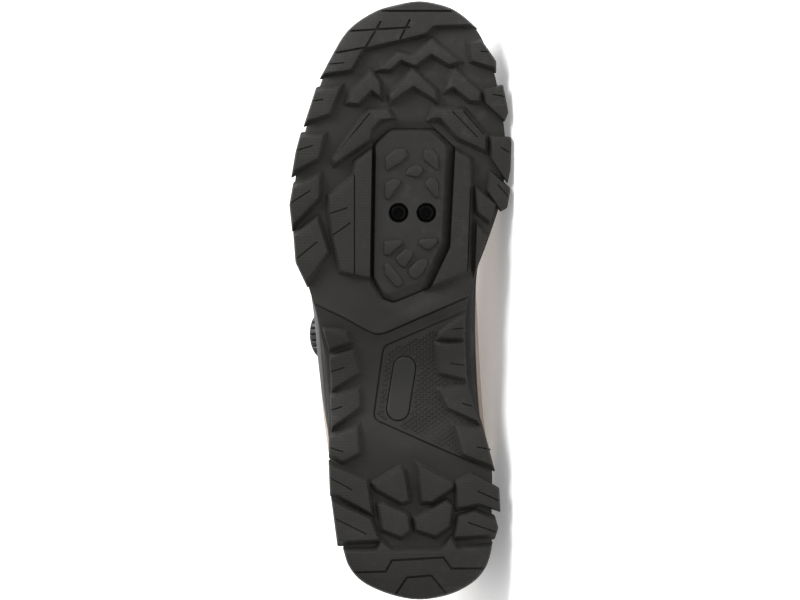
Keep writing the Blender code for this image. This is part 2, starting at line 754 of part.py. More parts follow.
def topline_loop():
    """Edge of the collar and throat, once round from the heel over the lateral side."""
    sides = []
    for across in (TOP_LATERAL, TOP_MEDIAL):
        sides.append([Vector((row[TOP_ALONG] * ALONG, row[across] * ACROSS,
                              row[TOP_HEIGHT] * INSTEP_HEIGHT)) for row in LAST_ROWS])
    return sides[0] + sides[1][-2:0:-1]


TOPLINE = topline_loop()


def topline_point(side, place):
    position = LAST.position(side, place)
    index = math.floor(position)
    near = [TOPLINE[(index + k) % len(TOPLINE)] for k in (-1, 0, 1, 2)]
    return spline_point(*near, position - index)


def profile_cage(side, place):
    """The four control points of the upper's profile at one place, from foot to topline."""
    foot_plan = LAST.point(side, place, UPPER_INSET)
    foot = Vector((foot_plan.x, foot_plan.y, footbed_z(foot_plan.x) + GAP))
    top = topline_point(side, place)
    height = top.z - foot.z
    normal = LAST.normal(side, place).to_3d()
    away = (foot - top).to_2d().to_3d()
    low = foot + normal * last_value(BELLY, place) * ACROSS
    low.z += last_value(RISE, place) * height
    high = top + away * last_value(REACH, place)
    high.z -= last_value(DROP, place) * height
    return foot, low, high, top


def upper_point(side, place, t):
    a, b, c, d = profile_cage(side, place)
    s = 1.0 - t
    return a * s ** 3 + b * (3 * s * s * t) + c * (3 * s * t * t) + d * t ** 3


def upper_normal(side, place, t):
    """Normal of the upper's outer face, pointing out of the shoe."""
    step = 0.02
    low, high = max(place - step, 0.0), min(place + step, LAST.count)
    along = upper_point(side, high, t) - upper_point(side, low, t)
    if place < step or place > LAST.count - step:
        near = step if place < step else LAST.count - step
        along = upper_point(side, near, t) - upper_point(-side, near, t)
        along = along if (place < step) else -along
    rise = upper_point(side, place, min(t + step, 1.0)) - upper_point(side, place, max(t - step, 0.0))
    return (along.cross(rise) * -side).normalized()


def wall_thickness(place, t):
    return WALL + COLLAR_PAD * max(last_value(PAD, place), 0.0) * smooth_step((t - 0.45) / 0.4)


def inner_point(side, place, t, extra=0.0):
    """Point of the upper's inner face, or further in by the extra depth."""
    depth = wall_thickness(place, t) + extra
    if t == 0.0:
        return upper_point(side, place, t) - LAST.normal(side, place).to_3d() * depth
    return upper_point(side, place, t) - upper_normal(side, place, t) * depth


def make_upper():
    heights = (0.0, 0.1, 0.24, 0.4, 0.56, 0.72, 0.87, 1.0)
    columns = []
    for side, line in ((-1, stations(LAST)), (1, stations(LAST)[-2:0:-1])):
        columns.extend((side, LAST.place_at(side, x)) for x in line)
    points = []
    rows = []
    for t in heights:
        rows.append([upper_point(side, place, t) for side, place in columns])
    crest = []
    for side, place in columns:
        outer, inner = upper_point(side, place, 1.0), inner_point(side, place, 1.0)
        up = (outer - upper_point(side, place, 0.96)).normalized()
        crest.append((outer + inner) / 2 + up * wall_thickness(place, 1.0) * 0.4)
    rows.append(crest)
    for t in reversed(heights):
        rows.append([inner_point(side, place, t) for side, place in columns])
    for row in rows:
        points.extend(row)
    count = len(columns)
    faces = []
    for r in range(len(rows)):
        low, high = r * count, ((r + 1) % len(rows)) * count
        for k in range(count):
            after = (k + 1) % count
            faces.append([low + k, low + after, high + after, high + k])
    return make_piece("upper", mesh_from("upper", points, faces), "upper_fabric")


def bridge(a, b, from_a, from_b, t):
    """Point of the smooth curve from a to b that leaves each end along its given direction."""
    reach = (b - a).length * 0.4
    c1, c2 = a + from_a.normalized() * reach, b + from_b.normalized() * reach
    s = 1.0 - t
    return a * s ** 3 + c1 * (3 * s * s * t) + c2 * (3 * s * t * t) + b * t ** 3


def tongue_section(place, arm, depth):
    """Points across the tongue at one place of the throat, from the lateral to the medial side."""
    sides = {}
    for side in (-1, 1):
        sides[side] = [inner_point(side, place, 1.0 - arm * k / 2, depth) for k in range(3)]
    lateral, medial = sides[-1], sides[1]
    out_lateral = lateral[0] - lateral[1]
    out_medial = medial[0] - medial[1]
    crown = [bridge(lateral[0], medial[0], out_lateral, out_medial, t) for t in (0.2, 0.4, 0.6, 0.8)]
    return list(reversed(lateral)) + crown + medial


def make_tongue():
    """A padded sheet that follows the inside of the throat's edges and rises above the collar."""
    sections = []
    for place in TONGUE_PLACES:
        free = smooth_step((TONGUE_FREE_FROM - place) / (TONGUE_FREE_FROM - TONGUE_PLACES[-1]))
        depth = mix(TONGUE_CLEARANCE, TONGUE_FREE_DEPTH, free)
        sections.append(tongue_section(place, TONGUE_ARM * (1.0 - 0.9 * free), depth))
    top = sections[-1]
    centre = sum(top, Vector()) / len(top)
    rise = Vector((-math.sin(TONGUE_LEAN), 0.0, math.cos(TONGUE_LEAN)))
    crown = max(point.z for point in top)
    for share, width, flat in TONGUE_FLAP:
        section = []
        for point in top:
            moved = point + rise * TONGUE_RISE * share
            moved.y = centre.y + (point.y - centre.y) * width
            moved.z += (crown - point.z) * flat
            section.append(moved)
        sections.append(section)
    mesh = solid_sheet("tongue", sections, TONGUE_THICKNESS, Vector((0.0, 0.0, -1.0)))
    return make_piece("tongue", mesh, "tongue_fabric")


def solid_sheet(name, rows, thickness, towards):
    """A closed solid from a grid of points, thickened towards one direction along its normals."""
    count, width = len(rows), len(rows[0])
    normals = []
    for r in range(count):
        for c in range(width):
            along = rows[min(r + 1, count - 1)][c] - rows[max(r - 1, 0)][c]
            across = rows[r][min(c + 1, width - 1)] - rows[r][max(c - 1, 0)]
            normals.append(along.cross(across).normalized())
    turn = 1.0 if sum(normals, Vector()).dot(towards) > 0 else -1.0
    back = []
    for r in range(count):
        back.append([rows[r][c] + normals[r * width + c] * turn * thickness for c in range(width)])
    points = [point for row in rows for point in row] + [point for row in back for point in row]
    lower = count * width
    faces = []
    for r in range(count - 1):
        for c in range(width - 1):
            quad = [r * width + c, r * width + c + 1, (r + 1) * width + c + 1, (r + 1) * width + c]
            faces.append(quad)
            faces.append([lower + k for k in reversed(quad)])
    border = [c for c in range(width)] + [r * width + width - 1 for r in range(1, count)]
    border += [(count - 1) * width + c for c in range(width - 2, -1, -1)]
    border += [r * width for r in range(count - 2, 0, -1)]
    for a, b in zip(border, border[1:] + border[:1]):
        faces.append([a, b, lower + b, lower + a])
    return mesh_from(name, points, faces)


def surface_tree(*pieces):
    """Search tree of the pieces' faces, to seat trim on them."""
    points = []
    faces = []
    for piece in pieces:
        start = len(points)
        points.extend(vertex.co.copy() for vertex in piece.data.vertices)
        faces.extend([start + k for k in face.vertices] for face in piece.data.polygons)
    return BVHTree.FromPolygons(points, faces)


def seat_height(tree, frame, u, v):
    """Height over the frame's plane of the surface under the local point (u, v)."""
    up = frame.to_3x3() @ Vector((0.0, 0.0, 1.0))
    start = frame @ Vector((u, v, SEARCH_HEIGHT))
    hit = tree.ray_cast(start, -up, 3 * SEARCH_HEIGHT)[0]
    return SEARCH_HEIGHT - (hit - start).length if hit else 0.0


def surface_frame(side, place, t):
    """Frame on the upper's outer face: X forward along it, Z out of it."""
    origin = upper_point(side, place, t)
    up = upper_normal(side, place, t)
    step = 0.05
    along = upper_point(side, place + step, t) - upper_point(side, place - step, t)
    along = (along - up * along.dot(up)).normalized()
    across = up.cross(along)
    return Matrix.Translation(origin) @ Matrix((along, across, up)).transposed().to_4x4()


def ring_points(frame, radii, heights):
    """One ring in the frame, with a radius and a height for each of its points."""
    ring = []
    for k, (radius, height) in enumerate(zip(radii, heights)):
        angle = 2 * math.pi * k / len(radii)
        ring.append(frame @ Vector((radius * math.cos(angle), radius * math.sin(angle), height)))
    return ring


def mesh_from_rings(name, rings, low_centre, high_centre):
    """A closed round form: rings of equal count, with a fan to one centre at either end."""
    count = len(rings[0])
    points = [point for ring in rings for point in ring] + [low_centre, high_centre]
    faces = []
    for r in range(len(rings) - 1):
        for k in range(count):
            after = (k + 1) % count
            low, high = r * count, (r + 1) * count
            faces.append([low + k, low + after, high + after, high + k])
    top = (len(rings) - 1) * count
    for k in range(count):
        after = (k + 1) % count
        faces.append([after, k, len(points) - 2])
        faces.append([top + k, top + after, len(points) - 1])
    return mesh_from(name, points, faces)


def make_dial(tree):
    """The lace dial: a base seated on the upper, and the knurled knob above it."""
    frame = surface_frame(-1, DIAL_PLACE, DIAL_UP)
    count = 2 * DIAL_KNURLS

    def seated(radius):
        heights = []
        for k in range(count):
            angle = 2 * math.pi * k / count
            heights.append(seat_height(tree, frame, radius * math.cos(angle), radius * math.sin(angle))
                           + SEAT_GAP)
        return ring_points(frame, [radius] * count, heights)

    radius = DIAL_BASE_DIAMETER / 2
    low = seat_height(tree, frame, 0.0, 0.0) + SEAT_GAP
    top = low + DIAL_BASE_HEIGHT
    chamfer = DIAL_BASE_HEIGHT / 4
    rings = [seated(radius / 2), seated(radius),
             ring_points(frame, [radius] * count, [top - chamfer] * count),
             ring_points(frame, [radius - chamfer] * count, [top] * count)]
    centre = [frame @ Vector((0.0, 0.0, z)) for z in (low, top)]
    make_piece("dial_base", mesh_from_rings("dial_base", rings, *centre), "dial_plastic")
    radii = [DIAL_DIAMETER / 2 - (DIAL_KNURL_DEPTH if k % 2 else 0.0) for k in range(count)]
    foot = top + GAP
    edge = DIAL_HEIGHT / 5
    rings = []
    for z, less in ((foot, edge / 2), (foot + edge, 0.0), (foot + DIAL_HEIGHT - edge, 0.0),
                    (foot + DIAL_HEIGHT, edge)):
        rings.append(ring_points(frame, [r - less for r in radii], [z] * count))
    centre = [frame @ Vector((0.0, 0.0, z)) for z in (foot, foot + DIAL_HEIGHT)]
    make_piece("dial_knob", mesh_from_rings("dial_knob", rings, *centre), "dial_plastic")
    return frame, low


def make_guide(name, tree, side, place):
    """A lace guide seated on the throat's edge, with its bore along the edge. Gives the bore's ends."""
    frame = surface_frame(side, place, GUIDE_UP)
    half_length, half_width = GUIDE_LENGTH / 2, GUIDE_WIDTH / 2
    base = max(seat_height(tree, frame, u, 0.0) for u in (-half_length, 0.0, half_length)) + SEAT_GAP
    rows = []
    for u in (-half_length, -half_length / 3, half_length / 3, half_length):
        row = []
        for v in (half_width, 0.0, -half_width):
            row.append(frame @ Vector((u, v, seat_height(tree, frame, u, v) + SEAT_GAP)))
        for v, z in ((-1.0, 0.5), (-0.6, 1.0), (0.6, 1.0), (1.0, 0.5)):
            row.append(frame @ Vector((u, v * half_width, base + z * GUIDE_HEIGHT)))
        rows.append(row)
    points = [point for row in rows for point in row]
    count = len(rows[0])
    faces = [list(range(count)), [3 * count + k for k in reversed(range(count))]]
    for r in range(len(rows) - 1):
        for k in range(count):
            after = (k + 1) % count
            faces.append([r * count + k, r * count + after, (r + 1) * count + after, (r + 1) * count + k])
    guide = make_piece(name, mesh_from(name, points, faces), "guide_plastic")
    middle = base + GUIDE_HEIGHT / 2
    bore = bmesh.new()
    lie = Matrix.Translation((0.0, 0.0, middle)) @ Matrix.Rotation(math.pi / 2, 4, "Y")
    bmesh.ops.create_cone(bore, cap_ends=True, segments=12, radius1=GUIDE_BORE / 2,
                          radius2=GUIDE_BORE / 2, depth=GUIDE_LENGTH * 2, matrix=frame @ lie)
    mesh = bpy.data.meshes.new(name + "_bore")
    bore.to_mesh(mesh)
    bore.free()
    add_boolean(guide, make_cutter(name + "_bore", mesh), "DIFFERENCE")
    reach = half_length + LACE_DIAMETER
    return [frame @ Vector((u, 0.0, middle)) for u in (-reach, -reach / 2, reach / 2, reach)]


def clearance(tree, point):
    return (tree.find_nearest(point)[0] - point).length


def crossing(tree, a, b):
    """Inner points of a run of lace from a to b, bowed up just enough to clear what it crosses."""
    steps = 7
    bow = 0.0
    while True:
        run = []
        for k in range(1, steps):
            s = k / steps
            point = mix(a, b, s)
            point.z += bow * math.sin(math.pi * s)
            run.append(point)
        above = all(clearance(tree, point) >= LACE_CLEARANCE + LACE_DIAMETER / 2 for point in run)
        higher = all(tree.ray_cast(point, Vector((0.0, 0.0, 1.0)))[0] is None for point in run)
        if (above and higher) or bow > INSTEP_HEIGHT / 4:
            return run
        bow += LACE_CLEARANCE / 2


def make_lace(tree, dial_frame, dial_low):
    """The thin lace: out of the dial's base, then from guide to guide down the throat."""
    start = Vector((DIAL_BASE_DIAMETER / 2 + GAP, 0.0, dial_low + DIAL_BASE_HEIGHT / 2))
    turned = dial_frame @ Matrix.Rotation(LACE_EXIT_TURN, 4, "Z")
    route = [turned @ start, turned @ (start + Vector((3 * LACE_DIAMETER, 0.0, LACE_DIAMETER)))]
    for name, side, place in GUIDES:
        ends = make_guide(name, tree, side, place)
        route += crossing(tree, route[-1], ends[0]) + ends
    last = route.pop()
    route[-1] = mix(route[-1], last, 0.2)
    points = []
    padded = [2 * route[0] - route[1]] + route + [2 * route[-1] - route[-2]]
    for p0, p1, p2, p3 in zip(padded, padded[1:], padded[2:], padded[3:]):
        steps = max(1, round((p2 - p1).length / (3 * LACE_DIAMETER)))
        points += [spline_point(p0, p1, p2, p3, k / steps) for k in range(steps)]
    points.append(route[-1])
    curve = bpy.data.curves.new("lace", "CURVE")
    curve.dimensions = "3D"
    curve.bevel_depth = LACE_DIAMETER / 2
    curve.bevel_resolution = 2
    curve.use_fill_caps = True
    line = curve.splines.new("POLY")
    line.points.add(len(points) - 1)
    for spot, point in zip(line.points, points):
        spot.co = (*point, 1.0)
    make_piece("lace", curve, "lace_cable")


def hull_facets(pieces):
    """Facets of the convex hull round all the pieces: (centre, outward normal, corners)."""
    shape = bmesh.new()
    for piece in pieces:
        if piece.type == "MESH":
            for vertex in piece.data.vertices:
                shape.verts.new(vertex.co)
        for cutter in [step.object for step in piece.modifiers if step.name == "lug_forms"]:
            for vertex in cutter.data.vertices:
                shape.verts.new(vertex.co)
    hull = bmesh.ops.convex_hull(shape, input=shape.verts)
    centre = sum((v.co for v in shape.verts), Vector()) / len(shape.verts)
    facets = []
    for face in hull["geom"]:
        if isinstance(face, bmesh.types.BMFace):
            normal = face.normal.copy()
            middle = face.calc_center_median()
            if normal.dot(middle - centre) < 0:
                normal.negate()
            facets.append((middle, normal, [v.co.copy() for v in face.verts]))
    shape.free()
    return facets


def holds(corners, normal, point):
    """Whether the point, moved along the normal, falls inside the facet."""
    signs = []
    for a, b in zip(corners, corners[1:] + corners[:1]):
        signs.append((b - a).cross(point - a).dot(normal))
    return min(signs) >= 0 or max(signs) <= 0


def lay_on_side(pieces):
    """Turn the shoe so that the hull facet under its balance point, on the inner side, is down."""
    balance = Vector((BALANCE_ALONG * LENGTH, 0.0, BALANCE_UP * INSTEP_HEIGHT))
    balance.y = BALANCE_ACROSS * BALL_WIDTH
    inner = Vector((0.0, 1.0, 0.0))
    facets = hull_facets(pieces)
    found = [facet for facet in facets if holds(facet[2], facet[1], balance)]
    middle, normal, corners = max(found, key=lambda facet: facet[1].dot(inner))
    up = -normal
    forward = (Vector((1.0, 0.0, 0.0)) - up * up.x).normalized()
    turn = Matrix((forward, up.cross(forward), up)).to_4x4()
    points = [turn @ corner for facet in facets for corner in facet[2]]
    floor = (turn @ middle).z
    centre = [(min(p[axis] for p in points) + max(p[axis] for p in points)) / 2 for axis in (0, 1)]
    SHOE.matrix_world = Matrix.Translation((-centre[0], -centre[1], -floor)) @ turn


clear_scene()
PARTS = make_collection("trail_cycling_shoe")
CUTTERS = make_collection("cutters")
SHOE = bpy.data.objects.new("shoe_frame", None)
PARTS.objects.link(SHOE)
make_outsole()
make_cover()
make_bolts()
make_inlay()
make_midsole()
make_insole()
UPPER = make_upper()
TONGUE = make_tongue()
make_lace(surface_tree(UPPER, TONGUE), *make_dial(surface_tree(UPPER)))
lay_on_side([piece for piece in PARTS.objects if piece.type in ("MESH", "CURVE")])
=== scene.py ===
"""Looks of the right trail cycling shoe, seen straight onto its sole.

Everything is built in the standing shoe's frame (X heel to toe, Y towards the inner side, Z up from
the ground) and then laid down by one matrix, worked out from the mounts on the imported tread.
"""
import json
import math

import bmesh
import bpy
import numpy as np
from mathutils import Matrix, Vector


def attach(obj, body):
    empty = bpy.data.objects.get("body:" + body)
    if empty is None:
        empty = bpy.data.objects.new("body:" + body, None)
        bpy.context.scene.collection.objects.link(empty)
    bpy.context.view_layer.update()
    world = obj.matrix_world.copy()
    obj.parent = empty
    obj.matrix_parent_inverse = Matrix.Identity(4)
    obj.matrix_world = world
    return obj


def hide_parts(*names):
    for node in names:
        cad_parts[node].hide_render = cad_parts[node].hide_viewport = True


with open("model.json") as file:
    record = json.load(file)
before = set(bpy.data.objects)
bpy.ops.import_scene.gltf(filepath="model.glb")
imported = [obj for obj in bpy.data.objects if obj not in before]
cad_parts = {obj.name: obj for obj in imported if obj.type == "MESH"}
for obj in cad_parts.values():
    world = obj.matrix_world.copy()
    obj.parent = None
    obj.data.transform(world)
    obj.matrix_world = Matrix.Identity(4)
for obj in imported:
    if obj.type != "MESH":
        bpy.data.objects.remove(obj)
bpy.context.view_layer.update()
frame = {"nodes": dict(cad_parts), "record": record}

# Driving sizes of the shoe, in metres, as in the solids
LENGTH = 0.304
BALL_WIDTH = 0.112
INSTEP_HEIGHT = 0.100
GAP = 0.0003
TOE_SPRING = 0.015
HEEL_BEVEL = 0.006
ARCH_RISE = 0.008
EDGE_RISE = 0.0020
LUG_HEIGHT = 0.0042
WAIST_LUG_HEIGHT = 0.0028
BASE_THICKNESS = 0.0042
HEEL_STACK = 0.030
BALL_STACK = 0.0185
WALL = 0.0022
COLLAR_PAD = 0.0045
PAD_FROM = 0.45
PAD_BLEND = 0.4
UPPER_INSET = 0.0022
TONGUE_THICKNESS = 0.0042
TONGUE_CLEARANCE = 0.0007
TONGUE_RISE = 0.020
TONGUE_LEAN = math.radians(38)
COVER_FACE = 0.0026
COVER_BACK = 0.0059
POCKET_FLOOR = 0.0062
INLAY_WIDTH = 0.0110
INLAY_LENGTH = 0.0325
DIAL_DIAMETER = 0.0250
DIAL_HEIGHT = 0.0060
DIAL_KNURLS = 24
KNURL_DEPTH = 0.0010
DIAL_SINK = 0.0022
DIAL_BASE_STEPS = 96
KNURL_STEPS = 12
DIAL_BASE_DIAMETER = 0.0290
DIAL_BASE_HEIGHT = 0.0030
SEAT_GAP = 0.0004
BOLT_SPACING = 0.0140
BOLT_HEAD = 0.0086
COUNTERBORE = 0.0100

TOE_OFF = 0.75
HEEL_OFF = 0.09
ARCH_REAR = 0.23
ARCH_FRONT = 0.495
FLAT_SHARE = 0.66

# Finer relief of the looks
LUG_DRAFT = 0.0016
OUTER_DRAFT = 0.0005
LUG_SINK = 0.0012
LUG_CORNER = 0.0008
# How far the rounded tip of a lug has moved out at each depth
LUG_TIP_LEVELS = ((-0.00035, 0.0), (0.0, 0.00012), (0.00018, 0.0005))
# Share of a side's draft that a lug has moved out by at each depth from its tip
LUG_SPREAD = ((1.0, LUG_HEIGHT - 0.0007), (1.35, LUG_HEIGHT), (1.7, LUG_HEIGHT + LUG_SINK))
# Where a lug's side counts as part of the sole's side: share across, share along from either end
OUTER_ACROSS = 0.92
OUTER_ALONG = 0.04
BLOCK_STEPS = 14
SIPE_WIDTH = 0.0006
SIPE_DEPTH = 0.0013
BLOCK_GROOVE_WIDTH = 0.0011
GROOVE_WIDTH = 0.0009
GROOVE_DEPTH = 0.0009
GROOVE_CORNER = 0.0022
GROOVE_STEPS = 3
BASE_COLUMNS_PER_ROW = 6

# The plan is drawn on a grid: 600 divisions of the length, 220 of the ball width
ALONG = LENGTH / 600
ACROSS = BALL_WIDTH / 220

# Outline of the rubber base: along, lateral edge, medial edge
BASE_ROWS = (
    (2, 14, 14),
    (7, -14, 44),
    (20, -42, 68),
    (35, -55, 80),
    (58, -62, 86),
    (96, -71, 86),
    (135, -74, 86),
    (176, -75, 77),
    (217, -75, 63),
    (260, -82, 60),
    (288, -88, 61),
    (318, -97, 67),
    (359, -107, 82),
    (400, -110, 95),
    (440, -106, 100),
    (475, -97, 98),
    (512, -85, 92),
    (545, -71, 83),
    (570, -55, 71),
    (588, -29, 51),
    (594, -10, 37),
    (598, 14, 14),
)

# Sections of the last, as in the solids: along, lateral, medial, top_along, top_lateral, top_medial,
# top_height, belly, rise, reach, drop, pad
LAST_ROWS = (
    (9, 14, 14, 21, 12, 12, 0.940, 10, 0.40, 0.00, 0.34, 1.0),
    (15, -9, 37, 23, -9, 33, 0.930, 11, 0.40, 0.00, 0.34, 1.0),
    (32, -37, 62, 33, -29, 51, 0.880, 13, 0.40, 0.05, 0.34, 1.0),
    (60, -57, 77, 60, -42, 61, 0.800, 15, 0.42, 0.20, 0.34, 1.0),
    (100, -68, 82, 100, -48, 63, 0.755, 17, 0.44, 0.28, 0.34, 1.0),
    (145, -74, 80, 138, -49, 60, 0.765, 20, 0.45, 0.30, 0.34, 1.0),
    (190, -79, 74, 174, -46, 53, 0.840, 24, 0.45, 0.34, 0.30, 0.9),
    (235, -83, 71, 206, -39, 43, 0.940, 25, 0.46, 0.38, 0.24, 0.6),
    (280, -87, 70, 232, -31, 32, 1.000, 24, 0.48, 0.42, 0.16, 0.2),
    (330, -97, 72, 268, -25, 23, 0.955, 16, 0.52, 0.46, 0.11, 0.0),
    (380, -105, 84, 308, -23, 19, 0.850, 11, 0.55, 0.48, 0.10, 0.0),
    (425, -105, 93, 347, -20, 16, 0.740, 10, 0.60, 0.50, 0.10, 0.0),
    (470, -98, 94, 382, -16, 12, 0.650, 10, 0.66, 0.50, 0.10, 0.0),
    (515, -81, 87, 400, -11, 7, 0.612, 10, 0.72, 0.50, 0.09, 0.0),
    (550, -64, 75, 407, -6.5, 2.5, 0.600, 10, 0.76, 0.50, 0.08, 0.0),
    (576, -41, 59, 410, -4, 0, 0.596, 10, 0.78, 0.50, 0.08, 0.0),
    (589, 14, 14, 411, -2, -2, 0.594, 10, 0.80, 0.50, 0.08, 0.0),
)
TOP_ALONG, TOP_LATERAL, TOP_MEDIAL, TOP_HEIGHT, BELLY, RISE, REACH, DROP, PAD = range(3, 12)

# Lugs: name, then the corners of the tip as (along, across)
LUGS = (
    ("toe_lateral", (552, -41), (530, -54), (526, -80), (545, -70)),
    ("lateral_2", (479, -97), (507, -88), (512, -65), (486, -75)),
    ("lateral_3", (462, -103), (464, -81), (442, -86), (429, -110), (447, -107)),
    ("lateral_4", (412, -110), (424, -85), (402, -86), (376, -111), (395, -113)),
    ("lateral_5", (364, -109), (380, -87), (348, -77), (319, -98), (338, -107)),
    ("medial_1", (557, 76), (538, 89), (532, 89), (539, 67), (556, 65)),
    ("medial_2", (513, 96), (487, 101), (480, 98), (496, 81), (510, 79)),
    ("medial_3", (461, 104), (430, 103), (419, 101), (440, 87), (463, 86)),
    ("medial_4", (411, 103), (393, 100), (390, 95), (408, 83), (426, 87)),
    ("medial_5", (410, 71), (395, 90), (379, 84), (388, 73)),
    ("medial_6", (374, 72), (362, 80), (330, 70)),
    ("zigzag", (530, -25), (546, -7), (542, 7), (559, 27), (538, 52), (535, 44), (546, 26), (534, 10),
     (540, -4), (530, -15)),
    ("fore_lateral", (497, -56), (508, -52), (527, -34), (517, -26), (504, -25), (510, -33), (496, -47)),
    ("fore_centre", (504, -14), (529, 8), (508, 30), (500, 30), (514, 8), (499, -13)),
    ("fore_medial", (529, 50), (506, 74), (499, 73), (499, 65), (513, 48), (510, 42), (520, 44)),
    ("wing_lateral", (481, -13), (489, -17), (488, -35), (440, -70), (437, -69), (461, -35), (470, -34),
     (480, -25)),
    ("wing_medial", (481, 26), (490, 30), (489, 58), (464, 79), (450, 79), (462, 53), (482, 35)),
    ("rail_lateral", (450, -31), (437, -48), (422, -50), (403, -74), (387, -74), (365, -71), (329, -63),
     (322, -31)),
    ("rail_medial", (450, 47), (440, 64), (415, 65), (330, 63), (313, 23), (353, 41)),
    ("waist_lateral_1", (269, -80), (267, -59), (259, -55), (252, -75)),
    ("waist_lateral_2", (242, -74), (249, -52), (228, -46), (212, -72)),
    ("waist_lateral_3", (203, -73), (211, -46), (194, -45), (174, -72)),
    ("waist_lateral_4", (163, -74), (174, -47), (148, -46), (140, -62), (148, -74)),
    ("waist_medial_1", (267, 36), (282, 58), (263, 58), (263, 35)),
    ("waist_medial_2", (255, 33), (257, 58), (222, 60), (228, 35)),
    ("waist_medial_3", (210, 35), (214, 60), (180, 72), (193, 43)),
    ("waist_medial_4", (175, 50), (170, 77), (136, 86), (147, 58)),
    ("heel_lateral_1", (135, -74), (120, -38), (89, -34), (110, -73)),
    ("heel_lateral_2", (98, -71), (82, -35), (62, -27), (60, -66)),
    ("heel_medial_1", (117, 52), (126, 69), (112, 92), (91, 93), (98, 73), (94, 53)),
    ("heel_medial_2", (83, 54), (89, 69), (80, 89), (73, 91), (67, 89), (65, 51)),
    ("heel_front_lateral", (117, -30), (132, -5), (130, -2), (101, 3), (99, -3), (112, -27)),
    ("heel_front_medial", (135, 14), (118, 47), (114, 47), (100, 26), (100, 18)),
    ("heel_rear_lateral", (95, -25), (97, -21), (86, 2), (71, 4), (65, -4), (72, -21)),
    ("heel_rear_medial", (82, 11), (99, 41), (95, 46), (75, 43), (66, 30), (72, 12)),
)
TOE_BLOCK = ((548, -64), (552, -38), (560, -5), (566, 20), (574, 28), (576, 62))
HEEL_BLOCK = ((49, -57), (50, -26), (58, -23), (50, -13), (50, 38), (61, 46), (51, 52), (54, 79))

# Thin cuts in the lugs: each a line of (along, across) points
SIPES = (
    ((534, -90), (536.5, -60)),
    ((496, -104), (500, -81)),
    ((446, -118), (454, -91)),
    ((391, -122), (409, -94)),
    ((336, -114), (358, -87)),
    ((548, 75), (547, 96)),
    ((505, 87), (501, 108)),
    ((452, 95), (444, 109)),
    ((415, 92), (400, 105)),
    ((486, -35), (444, -69)),
    ((488, 47), (462, 72)),
    ((488, 58), (465, 78)),
    ((425, -50), (326, -50)),
    ((385, -78), (392, -57)),
    ((412, 65), (326, 62)),
    ((377, -54), (363, -74)),
    ((226, -82), (233, -60)),
    ((188, -80), (194, -62)),
    ((156, -84), (149, -61)),
    ((271, 47), (273, 66)),
    ((237, 45), (234, 68)),
    ((197, 57), (191, 78)),
    ((154, 71), (150, 92)),
    ((126, -80), (111, -52)),
    ((87, -78), (67, -38)),
    ((110, 72), (98, 98)),
    ((79, 62), (67, 96)),
)
# Wider grooves in the toe and heel blocks
BLOCK_GROOVES = (
    ((588.5, -40), (588.5, 62)),
    ((567, -75), (572, 5)),
    ((543, -85), (552, -39)),
    ((552, -39), (578, -24)),
    ((560, -5), (580, 5)),
    ((28, -80), (30, -19), (41, -13), (44, 38), (33, 46), (33, 98)),
    ((-4, -17), (24, 2), (26, 26), (-4, 51)),
)
# Grooves in the base of the waist
GROOVES = (
    ((303, -104), (282, -60), (268, -35), (266, -28), (267, -20), (309, 76)),
    ((296, 76), (255, -19), (250, -22), (185, -31), (180, -28), (152, 35), (137, 70), (121, 104)),
)
# Field of small studs inside the second groove
STUD_FIELD = ((283, 60), (251, -16), (248, -18), (187, -27), (184, -25), (156, 35), (141, 70), (150, 84),
              (180, 70), (214, 58), (250, 56), (270, 58))
STUD_PITCH = 4.8
STUD_PITCH_ACROSS = 6.6
STUD_HEIGHT = 0.00055
STUD_SHARE = 0.43
STUD_TIP_SHARE = 0.45
# Reach of the studs' grid: along in the plan's units, across in studs
STUD_ALONG = (130, 290)
STUD_ACROSS = (-12, 24)
STUD_CLEARANCE = 0.0016

# Cleat cover, its small lugs, bolts and the inlay
COVER = ((470, -14), (470, 29), (451, 49), (353, 44), (313, 25), (298, -11), (301, -20), (323, -33),
         (455, -31))
# Width of the slope along each side of the cover, and how far the pocket's mouth opens past it
COVER_SLOPES = (0.0008, 0.0020, 0.0042, 0.0046, 0.0046, 0.0030, 0.0012, 0.0012, 0.0008)
POCKET_MOUTH = (0.0050, 0.0008, 0.0005, 0.0005, 0.0005, 0.0006, 0.0030, 0.0008, 0.0042)
COVER_LUGS = (
    ("cover_1", (429, -18), (441, -19), (450, -9), (450, 1), (444, 2), (437, -5)),
    ("cover_2", (449, 20), (450, 27), (444, 33), (430, 33), (430, 31), (440, 19)),
    ("cover_3", (425, 1), (431, 4), (434, 11), (432, 17), (429, 18), (423, 13), (423, 9)),
    ("cover_4", (416, -19), (421, -10), (419, -4), (416, -5), (401, -16), (401, -19)),
    ("cover_5", (417, 21), (422, 25), (421, 30), (417, 33), (402, 33), (402, 31), (411, 23)),
    ("cover_6", (358, -20), (360, -4), (357, -2), (345, -16), (345, -20)),
    ("cover_7", (356, 14), (360, 16), (361, 30), (359, 33), (351, 26), (351, 20)),
    ("cover_8", (341, -9), (351, 1), (348, 8), (345, 8), (333, 0), (334, -4)),
    ("cover_9", (330, 4), (339, 13), (341, 21), (338, 23), (326, 17), (321, 10), (324, 5)),
    ("cover_10", (335, -20), (337, -16), (320, -3), (316, -3), (313, -8), (325, -19)),
)
COVER_LUG_HEIGHT = 0.0015
COVER_LUG_CORNER = 0.0009
# How far a small lug's outline moves out at each height below its tip
COVER_LUG_LEVELS = ((-0.0004, 0.0), (-0.0001, 0.00012), (0.0001, 0.0004), (0.0004, 0.0014), (0.0006, 0.0018))
COVER_CORNER = 0.0014
POCKET_CORNER = 0.0012
POCKET_CLEARANCE = 0.0005
BOLTS_AT = (387, 7.4)
BOLT_SINK = 0.0006
